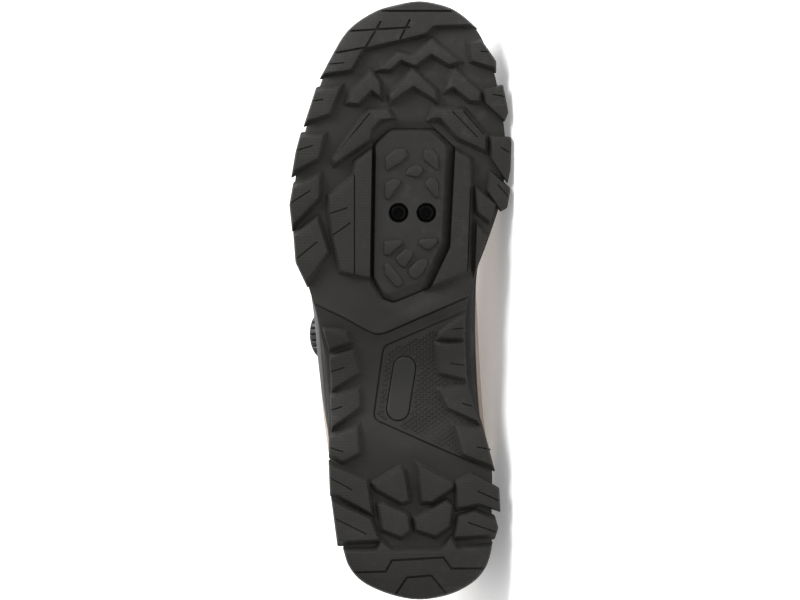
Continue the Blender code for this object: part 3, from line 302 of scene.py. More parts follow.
# Hexagon socket: radius and depth of its mouth and floor, and how far it is turned
SOCKET = ((0.0026, -0.001), (0.0022, 0.0013))
SOCKET_TURN = 0.3
SOCKET_SIDES = 6
INLAY_FRONT = (233, -0.5)
INLAY_REAR = (191, -7)

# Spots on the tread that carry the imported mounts
BALL_SPOT = (390, -55)
HEEL_SPOT = (114, 30)

# Tongue and dial, as in the solids
TONGUE_PLACES = (13.6, 12.8, 12.0, 11.2, 10.4, 9.6, 9.0, 8.5)
TONGUE_FREE_FROM = 10.0
TONGUE_FREE_DEPTH = 0.0072
TONGUE_ARM = 0.15
# Share of its arms that the tongue has lost at its free end
TONGUE_ARM_LOSS = 0.9
BRIDGE_REACH = 0.4
TONGUE_FLAP = ((0.30, 0.80, 0.3), (0.65, 0.88, 0.6), (0.90, 0.80, 0.8), (1.0, 0.66, 0.9))
DIAL_PLACE = 8.16
DIAL_UP = 0.575

# Solids that are shown as they are, and their looks
CARRIED_LOOKS = {
    "insole": "insole",
    "lace": "lace",
    "lace_guide_medial_1": "guide",
    "lace_guide_lateral_1": "guide",
    "lace_guide_medial_2": "guide",
    "lace_guide_lateral_2": "guide",
    "lace_guide_medial_3": "guide",
}


# Points of an outline to each row of its table, and the step by which slopes are measured
PLACES_PER_ROW = 8
SLOPE_STEP = 0.02


def smooth_step(value):
    value = min(max(value, 0.0), 1.0)
    return value * value * (3.0 - 2.0 * value)


def mix(a, b, share):
    return a + (b - a) * share


def spline_value(values, position):
    """Catmull-Rom value through evenly spaced rows, mirrored at both ends."""
    last = len(values) - 1
    index = min(int(position), last - 1)
    t = position - index
    p1, p2 = values[index], values[index + 1]
    p0 = values[abs(index - 1)]
    p3 = values[index + 2] if index + 2 <= last else values[last - 1]
    return 0.5 * (2 * p1 + (p2 - p0) * t + (2 * p0 - 5 * p1 + 4 * p2 - p3) * t * t
                  + (3 * p1 - p0 - 3 * p2 + p3) * t ** 3)


def spline_point(p0, p1, p2, p3, t):
    """Point of the centripetal Catmull-Rom span from p1 to p2."""
    k1 = math.sqrt((p1 - p0).length)
    k2 = k1 + math.sqrt((p2 - p1).length)
    k3 = k2 + math.sqrt((p3 - p2).length)
    at = mix(k1, k2, t)
    a1 = mix(p0, p1, at / k1)
    a2 = mix(p1, p2, (at - k1) / (k2 - k1))
    a3 = mix(p2, p3, (at - k2) / (k3 - k2))
    b1 = mix(a1, a2, at / k2)
    b2 = mix(a2, a3, (at - k1) / (k3 - k1))
    return mix(b1, b2, (at - k1) / (k2 - k1))


class Outline:
    """A closed plan outline through a table's rows, from the heel round the lateral side."""

    def __init__(self, rows):
        lateral = [Vector((row[0] * ALONG, row[1] * ACROSS)) for row in rows]
        medial = [Vector((row[0] * ALONG, row[2] * ACROSS)) for row in rows]
        self.count = len(rows) - 1
        self.loop = lateral + medial[-2:0:-1]
        self.places = [step / PLACES_PER_ROW for step in range(self.count * PLACES_PER_ROW + 1)]
        self.edges = {side: [self.point(side, place) for place in self.places] for side in (-1, 1)}

    def around(self, position):
        index = math.floor(position)
        four = [self.loop[(index + k) % len(self.loop)] for k in (-1, 0, 1, 2)]
        return spline_point(*four, position - index)

    def position(self, side, place):
        return place if side < 0 else 2 * self.count - place

    def point(self, side, place, inset=0.0):
        here = self.around(self.position(side, place))
        return here - self.normal(side, place) * inset if inset else here

    def normal(self, side, place):
        middle = self.position(side, place)
        along = self.around(middle + SLOPE_STEP) - self.around(middle - SLOPE_STEP)
        return Vector((along.y, -along.x)).normalized()

    def place_at(self, side, x):
        """Place of the edge point that lies at x."""
        edge = [point.x for point in self.edges[side]]
        return float(np.interp(x, edge, self.places))

    def edge_y(self, side, x):
        edge = self.edges[side]
        return np.interp(x, [point.x for point in edge], [point.y for point in edge])

    def share(self, x, y):
        """Where y lies across the outline at x: -1 at the lateral edge, 1 at the medial edge."""
        lateral, medial = self.edge_y(-1, x), self.edge_y(1, x)
        half = np.maximum((medial - lateral) / 2, LUG_HEIGHT)
        return np.clip((y - (lateral + medial) / 2) / half, -1.0, 1.0)


BASE = Outline(BASE_ROWS)
LAST = Outline(LAST_ROWS)


def ring_columns(outline, per_row):
    """(side, place) pairs right round an outline, with so many to each of its rows."""
    places = [k / per_row for k in range(outline.count * per_row + 1)]
    return [(-1, place) for place in places] + [(1, place) for place in reversed(places[1:-1])]


def arch_share(x):
    u = np.clip((x / LENGTH - ARCH_REAR) / (ARCH_FRONT - ARCH_REAR), 0.0, 1.0)
    return np.sin(np.pi * u) ** 2


def toe_share(x):
    return np.maximum(0.0, (x / LENGTH - TOE_OFF) / (1.0 - TOE_OFF))


def tread_line(x):
    heel = np.maximum(0.0, 1.0 - x / (HEEL_OFF * LENGTH))
    return TOE_SPRING * toe_share(x) ** 2 + HEEL_BEVEL * heel ** 2 + ARCH_RISE * arch_share(x)


def tread_z(x, y):
    edge = np.maximum(0.0, (np.abs(BASE.share(x, y)) - FLAT_SHARE) / (1.0 - FLAT_SHARE))
    return tread_line(x) + EDGE_RISE * edge ** 2


def lug_height(x):
    return mix(LUG_HEIGHT, WAIST_LUG_HEIGHT, arch_share(x))


def base_line(x):
    return tread_line(x) + lug_height(x)


def footbed_line(x):
    forward = np.clip((x / LENGTH - ARCH_REAR) / (TOE_OFF - ARCH_REAR), 0.0, 1.0)
    forward = forward * forward * (3.0 - 2.0 * forward)
    return mix(HEEL_STACK, BALL_STACK, forward) + TOE_SPRING * toe_share(x) ** 2


def base_top_z(x):
    return base_line(x) + BASE_THICKNESS


def plan(corner):
    return Vector((corner[0] * ALONG, corner[1] * ACROSS))


def plans(corners):
    return [plan(corner) for corner in corners]


# Frame of the standing shoe

def shoe_matrix():
    """Where the standing shoe's frame lies, from two mounts on its tread."""
    mounts = {mount["name"]: mount for mount in frame["record"]["mounts"]}
    ball, heel = (Vector(mounts[name]["pos_m"]) for name in ("tread_ball", "tread_heel"))
    up = -Vector(mounts["tread_ball"]["axis"]).normalized()
    drawn = plan(BALL_SPOT) - plan(HEEL_SPOT)
    run = ball - heel
    forward = (run * drawn.x - up.cross(run) * drawn.y).normalized()
    inner = up.cross(forward)
    turn = Matrix((forward, inner, up)).transposed()
    origin = ball - turn @ plan(BALL_SPOT).to_3d()
    return Matrix.Translation(origin) @ turn.to_4x4()


SHOE = shoe_matrix()


# Materials

HATCH_SCALE = 210.0
# Sockets of the colour mixing node
MIX_A, MIX_B, MIX_RESULT = 6, 7, 2


class Shade:
    """A Principled material that is put together from a few procedural layers."""

    def __init__(self, name, roughness, **sockets):
        self.material = bpy.data.materials.new(name)
        self.material.use_nodes = True
        self.tree = self.material.node_tree
        self.shader = self.tree.nodes["Principled BSDF"]
        self.shader.inputs["Roughness"].default_value = roughness
        for socket, value in sockets.items():
            self.shader.inputs[socket.replace("_", " ")].default_value = value
        self.where = self.node("ShaderNodeTexCoord").outputs["Object"]
        self.normal = None

    def node(self, kind, links=(), **settings):
        made = self.tree.nodes.new(kind)
        for key, value in settings.items():
            if key in made.inputs:
                made.inputs[key].default_value = value
            else:
                setattr(made, key, value)
        for socket, output in dict(links).items():
            self.tree.links.new(output, made.inputs[socket])
        return made

    def noise(self, scale, detail=3.0):
        made = self.node("ShaderNodeTexNoise", {"Vector": self.where}, Scale=scale, Detail=detail)
        return made.outputs["Fac"]

    def cells(self, scale):
        return self.node("ShaderNodeTexVoronoi", {"Vector": self.where}, Scale=scale).outputs["Distance"]

    def wave(self, scale, direction):
        made = self.node("ShaderNodeTexWave", {"Vector": self.where}, Scale=scale, bands_direction=direction)
        return made.outputs["Fac"]

    def spread(self, value, low, high, to_low=0.0, to_high=1.0):
        made = self.node("ShaderNodeMapRange", {"Value": value})
        for key, number in (("From Min", low), ("From Max", high), ("To Min", to_low), ("To Max", to_high)):
            made.inputs[key].default_value = number
        return made.outputs["Result"]

    def math(self, operation, a, b):
        made = self.node("ShaderNodeMath", operation=operation)
        for slot, value in zip(made.inputs, (a, b)):
            if isinstance(value, (int, float)):
                slot.default_value = value
            else:
                self.tree.links.new(value, slot)
        return made.outputs["Value"]

    def blend(self, share, a, b):
        made = self.node("ShaderNodeMix", data_type="RGBA")
        self.tree.links.new(share, made.inputs["Factor"])
        for slot, value in ((made.inputs[MIX_A], a), (made.inputs[MIX_B], b)):
            if isinstance(value, tuple):
                slot.default_value = (*value, 1.0)
            else:
                self.tree.links.new(value, slot)
        return made.outputs[MIX_RESULT]

    def colour(self, output):
        self.tree.links.new(output, self.shader.inputs["Base Color"])

    def rough(self, output):
        self.tree.links.new(output, self.shader.inputs["Roughness"])

    def bump(self, height, distance, strength=1.0):
        links = {"Height": height}
        if self.normal:
            links["Normal"] = self.normal
        made = self.node("ShaderNodeBump", links, Distance=distance, Strength=strength)
        self.normal = made.outputs["Normal"]
        self.tree.links.new(self.normal, self.shader.inputs["Normal"])


def rubber(name, colour, dusty, roughness=0.62, hatch=False):
    """Moulded rubber: soft mottling, a fine skin, dust in patches, and a fine hatch on the lugs."""
    shade = Shade(name, roughness, Specular_IOR_Level=0.20)
    mottled = shade.blend(shade.spread(shade.noise(38.0, 4.0), 0.35, 0.68), colour,
                          tuple(c * 1.16 for c in colour))
    dust = shade.spread(shade.noise(210.0, 5.0), 0.52, 0.80)
    patch = shade.spread(shade.noise(14.0, 2.0), 0.42, 0.70)
    shade.colour(shade.blend(shade.math("MULTIPLY", dust, patch), mottled, dusty))
    shade.rough(shade.spread(shade.noise(90.0, 3.0), 0.3, 0.7, roughness - 0.07, roughness + 0.08))
    shade.bump(shade.noise(2600.0, 2.0), 0.00005, 0.6)
    shade.bump(shade.noise(420.0, 3.0), 0.00008, 0.5)
    if hatch:
        hatched = shade.math("MULTIPLY", shade.wave(HATCH_SCALE, "X"), shade.wave(HATCH_SCALE, "Z"))
        shade.bump(hatched, 0.00025, 0.4)
    return shade.material


def woven(name, dark, light, pitch, sheen=0.3):
    """Knitted or napped cloth, from two crossed waves."""
    cloth = Shade(name, 0.9, Sheen_Weight=sheen, Sheen_Roughness=0.45)
    knit = cloth.math("MULTIPLY", cloth.wave(1.0 / pitch, "X"), cloth.wave(1.0 / pitch, "Z"))
    cloth.colour(cloth.blend(cloth.math("MULTIPLY", knit, cloth.noise(500.0)), dark, light))
    cloth.bump(knit, 0.00018, 0.7)
    cloth.bump(cloth.noise(1200.0), 0.00006, 0.5)
    return cloth.material


def grainy(name, roughness, scale, dark, light, grain=None, **sockets):
    """Two mottled tones, with a fine skin where a grain (scale, depth, strength) is given."""
    shade = Shade(name, roughness, **sockets)
    shade.colour(shade.blend(shade.noise(scale), dark, light))
    if grain:
        size, depth, strength = grain
        shade.bump(shade.noise(size), depth, strength)
    return shade.material


def make_materials():
    made = {}
    made["outsole"] = rubber("outsole_rubber_look", (0.0185, 0.0178, 0.0161), (0.036, 0.034, 0.030))
    made["lugs"] = rubber("lug_rubber_look", (0.0185, 0.0178, 0.0161), (0.036, 0.034, 0.030), hatch=True)
    made["cover"] = rubber("cover_rubber_look", (0.0198, 0.0190, 0.0173), (0.038, 0.036, 0.032))
    made["inlay"] = rubber("inlay_rubber_look", (0.0205, 0.0200, 0.0190), (0.030, 0.029, 0.027), 0.52)
    made["midsole"] = rubber("midsole_foam_look", (0.0115, 0.0104, 0.0112), (0.034, 0.031, 0.031), 0.55)

    # Bolt heads near black: a black finish, darkened further as painted shade of the deep counterbore that
    # they sit in.
    made["bolt"] = grainy("bolt_look", 0.30, 160.0, (0.0010, 0.0010, 0.0010), (0.0026, 0.0026, 0.0026),
                          (900.0, 0.00004, 0.4), Specular_IOR_Level=0.05)
    made["dial"] = grainy("dial_look", 0.40, 240.0, (0.012, 0.012, 0.013), (0.020, 0.020, 0.021),
                          (2200.0, 0.00004, 0.5), Coat_Weight=0.10, Coat_Roughness=0.3)
    made["guide"] = grainy("guide_look", 0.48, 300.0, (0.040, 0.038, 0.037), (0.060, 0.057, 0.055),
                           (1800.0, 0.00004, 0.5))
    # Pinholes are dark discs on the upper, not holes: their dark colour is painted shade of the holes.
    made["pinhole"] = grainy("pinhole_look", 0.9, 400.0, (0.010, 0.009, 0.008), (0.022, 0.020, 0.018))
    # The floor glows a little (emission): painted light that lightens the shoe's shadow on it and lights the
    # shoe's lower side.
    made["floor"] = grainy("floor_look", 0.85, 2.0, (0.90, 0.90, 0.90), (0.93, 0.93, 0.93),
                           Emission_Color=(1.0, 1.0, 1.0, 1.0), Emission_Strength=0.22)
    made["lining"] = woven("lining_look", (0.018, 0.017, 0.017), (0.085, 0.080, 0.077), 0.006)
    made["tongue"] = woven("tongue_look", (0.030, 0.027, 0.025), (0.140, 0.125, 0.112), 0.007)
    made["insole"] = woven("insole_look", (0.030, 0.029, 0.028), (0.100, 0.096, 0.090), 0.008, 0.5)

    upper = Shade("upper_fabric_look", 0.82, Sheen_Weight=0.25, Sheen_Roughness=0.5)
    tone = upper.blend(upper.spread(upper.noise(26.0, 4.0), 0.3, 0.7), (0.40, 0.315, 0.245),
                       (0.50, 0.405, 0.320))
    soil = upper.spread(upper.noise(75.0, 5.0), 0.56, 0.82, 0.0, 0.35)
    upper.colour(upper.blend(soil, tone, (0.24, 0.19, 0.15)))
    upper.bump(upper.cells(1500.0), 0.00012, 0.55)
    upper.bump(upper.noise(320.0, 3.0), 0.00010, 0.4)
    made["upper"] = upper.material

    panel = Shade("panel_look", 0.55, Coat_Weight=0.08, Coat_Roughness=0.4)
    panel.colour(panel.blend(panel.spread(panel.noise(60.0, 4.0), 0.35, 0.7), (0.034, 0.031, 0.031),
                             (0.050, 0.045, 0.043)))
    panel.bump(panel.cells(900.0), 0.00010, 0.5)
    made["panel"] = panel.material

    lace = Shade("lace_look", 0.5, Sheen_Weight=0.2)
    strands = lace.wave(900.0, "DIAGONAL")
    lace.colour(lace.blend(strands, (0.060, 0.056, 0.052), (0.170, 0.160, 0.148)))
    lace.bump(strands, 0.00008, 0.8)
    made["lace"] = lace.material

    thread = Shade("thread_look", 0.7, Sheen_Weight=0.4)
    thread.colour(thread.blend(thread.noise(700.0), (0.22, 0.18, 0.145), (0.34, 0.28, 0.23)))
    thread.bump(thread.wave(1800.0, "DIAGONAL"), 0.00005, 0.7)
    made["thread"] = thread.material
    return made


LOOKS = make_materials()


# Mesh tools

def placed(name, data):
    made = bpy.data.objects.new(name, data)
    bpy.context.scene.collection.objects.link(made)
    return made


def place_piece(name, mesh, look, slot, *nodes):
    """Lay a mesh down, pressed flat where it meets the floor, give it its look and let it ride."""
    mesh.transform(SHOE)
    for vertex in mesh.vertices:
        vertex.co.z = max(vertex.co.z, 0.0)
    piece = placed(name, mesh)
    mesh.materials.clear()
    mesh.materials.append(LOOKS[look])
    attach(piece, "root")
    if nodes:
        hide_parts(*nodes)
    return piece


def mesh_from(name, points, faces):
    mesh = bpy.data.meshes.new(name)
    mesh.from_pydata([tuple(point) for point in points], [], faces)
    shape = bmesh.new()
    shape.from_mesh(mesh)
    bmesh.ops.recalc_face_normals(shape, faces=shape.faces)
    shape.to_mesh(mesh)
    shape.free()
    return mesh


def flat(rows):
    return [point for row in rows for point in row]


def grid_faces(rows, count, round_rows=False, round_columns=True):
    """Faces of a grid of points; round_ joins the last row or column to the first."""
    faces = []
    for r in range(rows if round_rows else rows - 1):
        low, high = r * count, (r + 1) % rows * count
        for k in range(count if round_columns else count - 1):
            after = (k + 1) % count
            faces.append([low + k, low + after, high + after, high + k])
    return faces


def smooth(mesh, angle):
    mesh.shade_smooth()
    mesh.set_sharp_from_angle(angle=math.radians(angle))


# Sides whose turn is less than this count as nearly in line
NEARLY_IN_LINE = 0.25
# The longest that a moved corner goes, in widths, and the sharpest turn that a ribbon follows in full
LONGEST_MITRE = 2.0
RIBBON_MITRE = 0.5
# The most of a side that one rounded corner takes
CORNER_SHARE = 0.42


def turned_left(corners):
    area = 0.0
    for a, b in zip(corners, corners[1:] + corners[:1]):
        area += a.x * b.y - b.x * a.y
    return corners if area > 0 else list(reversed(corners))


def offset_sides(corners, distances):
    """Corners of the polygon whose sides have each moved outward by its own distance."""
    count = len(corners)
    result = []
    for k, here in enumerate(corners):
        before, after = corners[k - 1], corners[(k + 1) % count]
        one, two = (here - before).normalized(), (after - here).normalized()
        n1, n2 = Vector((one.y, -one.x)), Vector((two.y, -two.x))
        d1, d2 = distances[k - 1], distances[k]
        turn = n1.x * n2.y - n1.y * n2.x
        if abs(turn) < NEARLY_IN_LINE:
            result.append(here + (n1 + n2).normalized() * (d1 + d2) / 2)
            continue
        moved = Vector(((d1 * n2.y - d2 * n1.y) / turn, (n1.x * d2 - n2.x * d1) / turn))
        longest = LONGEST_MITRE * max(abs(d1), abs(d2))
        if moved.length > longest > 0:
            moved *= longest / moved.length
        result.append(here + moved)
    return result


def rounded(corners, radius, steps=2):
    """The polygon with each corner drawn as a short curve."""
    count = len(corners)
    result = []
    for k, here in enumerate(corners):
        before, after = corners[k - 1], corners[(k + 1) % count]
        back = min(radius, (before - here).length * CORNER_SHARE)
        on = min(radius, (after - here).length * CORNER_SHARE)
        a = here + (before - here).normalized() * back
        b = here + (after - here).normalized() * on
        for step in range(steps + 1):
            t = step / steps
            result.append(a * (1 - t) ** 2 + here * (2 * t * (1 - t)) + b * t * t)
    return result


def wheel(centre, one, two, radius, steps, turn=0.0):
    """Points round a circle that starts along one and turns towards two."""
    angles = [turn + 2 * math.pi * k / steps for k in range(steps)]
    return [centre + (one * math.cos(angle) + two * math.sin(angle)) * radius for angle in angles]


def tube(shape, rings):
    """Add a closed form of rings of points with equal counts, capped at both ends."""
    loops = [[shape.verts.new(point) for point in ring] for ring in rings]
    shape.faces.new(list(reversed(loops[0])))
    shape.faces.new(loops[-1])
    for low, high in zip(loops, loops[1:]):
        for k in range(len(low)):
            after = (k + 1) % len(low)
            shape.faces.new((low[k], low[after], high[after], high[k]))


def stacked(shape, rings):
    """Add a closed form of level rings: (plan points, height)."""
    tube(shape, [[(point.x, point.y, z) for point in ring] for ring, z in rings])


def mesh_of(name, build):
    shape = bmesh.new()
    build(shape)
    bmesh.ops.recalc_face_normals(shape, faces=shape.faces)
    mesh = bpy.data.meshes.new(name)
    shape.to_mesh(mesh)
    shape.free()
    return mesh


def solid(name, rings):
    return mesh_of(name, lambda shape: stacked(shape, rings))


def carved(mesh, cutters):
    """The mesh with each cutter's mesh taken off it."""
    holder = placed("carving", mesh)
    tools = []
    for cutter in cutters:
        tool = placed("carving_tool", cutter)
        step = holder.modifiers.new("cut", "BOOLEAN")
        step.object = tool
        step.operation = "DIFFERENCE"
        step.solver = "EXACT"
        tools.append(tool)
    result = bpy.data.meshes.new_from_object(holder.evaluated_get(bpy.context.evaluated_depsgraph_get()))
    for used in (holder, *tools):
        bpy.data.objects.remove(used, do_unlink=True)
    return result


def joined(name, meshes):
    shape = bmesh.new()
    for mesh in meshes:
        shape.from_mesh(mesh)
    whole = bpy.data.meshes.new(name)
    shape.to_mesh(whole)
    shape.free()
    return whole


def ribbon(points, width, low, high):
    """A closed strip along a plan line, as a cutter from one height to the other."""
    sides = []
    for k, here in enumerate(points):
        before, after = points[max(k - 1, 0)], points[min(k + 1, len(points) - 1)]
        one = (here - before) if k else (after - here)
        two = (after - here) if k < len(points) - 1 else one
        n1, n2 = Vector((-one.y, one.x)).normalized(), Vector((-two.y, two.x)).normalized()
        middle = (n1 + n2).normalized()
        sides.append(middle * width / 2 / max(middle.dot(n1), RIBBON_MITRE))
    outline = [p + s for p, s in zip(points, sides)] + [p - s for p, s in reversed(list(zip(points, sides)))]
    return solid("strip", [(turned_left(outline), low), (turned_left(outline), high)])


# The tread is built flat: z counts from the lug tips, and is bent to the sole's curves at the end

def ridge(x, y, a, b, width):
    """1 on the line from a to b, fading to 0 at the given width beside it."""
    ax, ay = a.x, a.y
    dx, dy = b.x - ax, b.y - ay
    t = np.clip(((x - ax) * dx + (y - ay) * dy) / (dx * dx + dy * dy), 0.0, 1.0)
    away = np.hypot(x - ax - t * dx, y - ay - t * dy) / width
    return np.clip(1.0 - away, 0.0, 1.0) ** 2 * (1.0 + 2.0 * np.clip(away, 0.0, 1.0))


# Soft ridges and hollows of the base: from, to, half width, height out of the sole, all but the
# last two as (along, across)
RIDGES = (
    ((285, 10), (318, 58), 0.0070, 0.0012),
    ((283, -5), (316, -38), 0.0060, 0.0009),
    ((276, 20), (296, 64), 0.0040, -0.0008),
    ((262, -90), (262, -40), 0.0090, -0.0004),
    ((268, -24), (309, 76), 0.0055, 0.0010),
    ((303, -104), (268, -32), 0.0050, 0.0006),
    ((150, 5), (176, 50), 0.0080, 0.0008),
    ((150, 15), (165, -30), 0.0120, 0.0007),
    ((145, 30), (160, 75), 0.0090, 0.0006),
)


# Grids for bend; the last is wider than any piece, so it cuts nothing
LUG_GRID = (0.0040, 0.0050)
BASE_GRID = (0.0025, 0.0025)
INLAY_GRID = (0.003, 0.003)
UNCUT = (1.0, 1.0)
# Keeps the cuts off corners that lie on round numbers
CUT_SHIFT = 1e-5
# Height from which cutters reach down, clear of every tip
CUTTER_TOP = -0.002
# How far off a cutter is still tried on a lug
CUT_REACH = 0.02
POCKET_REACH = 0.003
RECESS_CLEARANCE = 0.0005
RECESS_DEPTH = 0.0016


def bend(mesh, grid):
    """Cut the flat mesh along a grid and bend it to the sole's curves."""
    shape = bmesh.new()
    shape.from_mesh(mesh)
    for axis, pitch in enumerate(grid):
        values = [vertex.co[axis] for vertex in shape.verts]
        normal = Vector((1.0, 0.0, 0.0)) if axis == 0 else Vector((0.0, 1.0, 0.0))
        for k in range(math.ceil(min(values) / pitch), math.floor(max(values) / pitch) + 1):
            everything = shape.verts[:] + shape.edges[:] + shape.faces[:]
            spot = normal * (k * pitch + CUT_SHIFT)
            bmesh.ops.bisect_plane(shape, geom=everything, dist=1e-7, plane_co=spot, plane_no=normal)
    bmesh.ops.triangulate(shape, faces=[face for face in shape.faces if len(face.verts) > 4])
    shape.to_mesh(mesh)
    shape.free()
    places = np.empty(len(mesh.vertices) * 3)
    mesh.vertices.foreach_get("co", places)
    places = places.reshape(-1, 3)
    x, y, w = places.T
    tip = tread_z(x, y)
    below = tip + np.minimum(w, LUG_HEIGHT) / LUG_HEIGHT * lug_height(x)
    share = np.clip((w - LUG_HEIGHT) / BASE_THICKNESS, 0.0, 1.0)
    bent = np.where(w > LUG_HEIGHT, mix(tip + lug_height(x), base_top_z(x), share), below)
    relief = sum(ridge(x, y, plan(a), plan(b), width) * height for a, b, width, height in RIDGES)
    rooted = np.clip(w / LUG_HEIGHT, 0.0, 1.0) ** 4 * np.clip(1.0 - share * 2, 0.0, 1.0)
    places[:, 2] = bent - relief * rooted
    mesh.vertices.foreach_set("co", places.ravel())
    mesh.update()
    return mesh


def lug_rings(corners):
    """Rings of a lug from its tip down past the base, steep where it meets the sole's side."""
    corners = turned_left(corners)
    drafts = []
    for a, b in zip(corners, corners[1:] + corners[:1]):
        middle = (a + b) / 2
        outer = abs(float(BASE.share(middle.x, middle.y))) > OUTER_ACROSS
        from_end = min(middle.x, LENGTH - middle.x)
        drafts.append(OUTER_DRAFT if outer or from_end < OUTER_ALONG * LENGTH else LUG_DRAFT)
    levels = [([offset] * len(corners), z) for offset, z in LUG_TIP_LEVELS]
    levels += [([draft * share for draft in drafts], z) for share, z in LUG_SPREAD]
    return [(rounded(offset_sides(corners, distances), LUG_CORNER), z) for distances, z in levels]


def block_corners(inner, toe):
    """A block round the toe or heel: its inner corners, then the outline from side to side."""
    first, last = plan(inner[0]), plan(inner[-1])
    end = BASE.count if toe else 0
    start, finish = BASE.place_at(-1, first.x), BASE.place_at(1, last.x)
    shares = [k / BLOCK_STEPS for k in range(BLOCK_STEPS + 1)]
    lateral = [BASE.point(-1, mix(start, end, share), OUTER_DRAFT) for share in shares[:-1]]
    medial = [BASE.point(1, mix(end, finish, share), OUTER_DRAFT) for share in shares]
    return plans(reversed(inner[1:-1])) + lateral + medial


def cover_sides(widths):
    """The cover's corners counted to the left, and its table of widths in the same order."""
    corners = turned_left(plans(COVER))
    return corners, widths if corners[0] == plan(COVER[0]) else widths[-2::-1] + widths[-1:]


def pocket_cutter():
    corners, mouths = cover_sides(POCKET_MOUTH)
    rings = []
    straight = [POCKET_CLEARANCE] * len(corners)
    for widths, z in (([mouth * 1.25 for mouth in mouths], CUTTER_TOP), (mouths, LUG_HEIGHT - 0.0001),
                      (straight, LUG_HEIGHT + 0.0012), (straight, POCKET_FLOOR)):
        rings.append((rounded(offset_sides(corners, widths), POCKET_CORNER), z))
    return solid("pocket", rings)


def near(points, polygon, reach):
    """Whether any of the points comes within reach of the polygon's corners' box."""
    low_x, high_x = min(p.x for p in polygon) - reach, max(p.x for p in polygon) + reach
    low_y, high_y = min(p.y for p in polygon) - reach, max(p.y for p in polygon) + reach
    return any(low_x < p.x < high_x and low_y < p.y < high_y for p in points)


def make_lugs():
    shapes = [(name, plans(corners)) for name, *corners in LUGS]
    shapes.append(("toe_block", block_corners(TOE_BLOCK, True)))
    shapes.append(("heel_block", block_corners(HEEL_BLOCK, False)))
    cuts = [(plans(line), SIPE_WIDTH) for line in SIPES]
    cuts += [(plans(line), BLOCK_GROOVE_WIDTH) for line in BLOCK_GROOVES]
    cover = plans(COVER)
    meshes = []
    for name, corners in shapes:
        mesh = solid(name, lug_rings(corners))
        cutters = [ribbon(line, width, CUTTER_TOP, SIPE_DEPTH) for line, width in cuts
                   if near(corners, line, CUT_REACH)]
        if near(corners, cover, POCKET_REACH):
            cutters.append(pocket_cutter())
        meshes.append(carved(mesh, cutters) if cutters else mesh)
    mesh = bend(joined("outsole_lugs", meshes), LUG_GRID)
    smooth(mesh, 32)
    place_piece("outsole_lugs", mesh, "lugs", "outsole_rubber", "outsole")


def stadium(grow, steps=14):
    front, rear = plan(INLAY_FRONT), plan(INLAY_REAR)
    middle = (front + rear) / 2
    axis = (front - rear).normalized()
    reach = axis * (INLAY_LENGTH - INLAY_WIDTH) / 2
    start = math.atan2(axis.y, axis.x) - math.pi / 2
    radius = INLAY_WIDTH / 2 + grow
    corners = []
    for centre, turn in ((middle + reach, start), (middle - reach, start + math.pi)):
        for k in range(steps + 1):
            angle = turn + math.pi * k / steps
            corners.append(centre + Vector((math.cos(angle), math.sin(angle))) * radius)
    return corners


def make_base():
    columns = ring_columns(BASE, BASE_COLUMNS_PER_ROW)
    rings = []
    for inset, z in ((0.0013, LUG_HEIGHT), (0.0004, LUG_HEIGHT + 0.0004), (0.0, LUG_HEIGHT + 0.0012),
                     (0.0, LUG_HEIGHT + BASE_THICKNESS)):
        rings.append(([BASE.point(side, place, inset) for side, place in columns], z))
    recess = stadium(RECESS_CLEARANCE)
    cutters = [pocket_cutter(), solid("recess", [(recess, 0.0), (recess, LUG_HEIGHT + RECESS_DEPTH)])]
    for line in GROOVES:
        soft = rounded(plans(line), GROOVE_CORNER, GROOVE_STEPS)[GROOVE_STEPS + 1:-GROOVE_STEPS - 1]
        points = [plan(line[0])] + soft + [plan(line[-1])]
        cutters.append(ribbon(points, GROOVE_WIDTH, 0.0, LUG_HEIGHT + GROOVE_DEPTH))
    mesh = bend(carved(solid("outsole_base", rings), cutters), BASE_GRID)
    smooth(mesh, 32)
    place_piece("outsole_base", mesh, "outsole", "outsole_rubber")


def inside(point, polygon):
    hit = False
    for a, b in zip(polygon, polygon[1:] + polygon[:1]):
        if (a.y > point.y) != (b.y > point.y):
            if point.x < a.x + (point.y - a.y) / (b.y - a.y) * (b.x - a.x):
                hit = not hit
    return hit


def make_studs():
    """Fine diamond studs over the field in the waist, clear of the inlay and the lugs."""
    field = plans(STUD_FIELD)
    kept_clear = [plans(lug[1:]) for lug in LUGS if lug[0].startswith("waist_medial")]
    kept_clear.append(stadium(STUD_CLEARANCE))
    half = plan((STUD_PITCH * STUD_SHARE, STUD_PITCH_ACROSS * STUD_SHARE))
    corners = [Vector((half.x, 0.0)), Vector((0.0, half.y)), Vector((-half.x, 0.0)), Vector((0.0, -half.y))]
    shifts = (0.0, 0.5)
    rows = range(*(int(end / STUD_PITCH) for end in STUD_ALONG))
    spots = [(i + shift, j + shift) for i in rows for j in range(*STUD_ACROSS) for shift in shifts]

    def build(shape):
        for i, j in spots:
            centre = plan((i * STUD_PITCH, j * STUD_PITCH_ACROSS))
            if inside(centre, field) and not any(inside(centre, other) for other in kept_clear):
                tip = [centre + corner * STUD_TIP_SHARE for corner in corners]
                root = [centre + corner for corner in corners]
                stacked(shape, [(tip, LUG_HEIGHT - STUD_HEIGHT), (root, LUG_HEIGHT + 0.0002)])

    mesh = bend(mesh_of("waist_studs", build), UNCUT)
    place_piece("waist_studs", mesh, "outsole", "outsole_rubber")


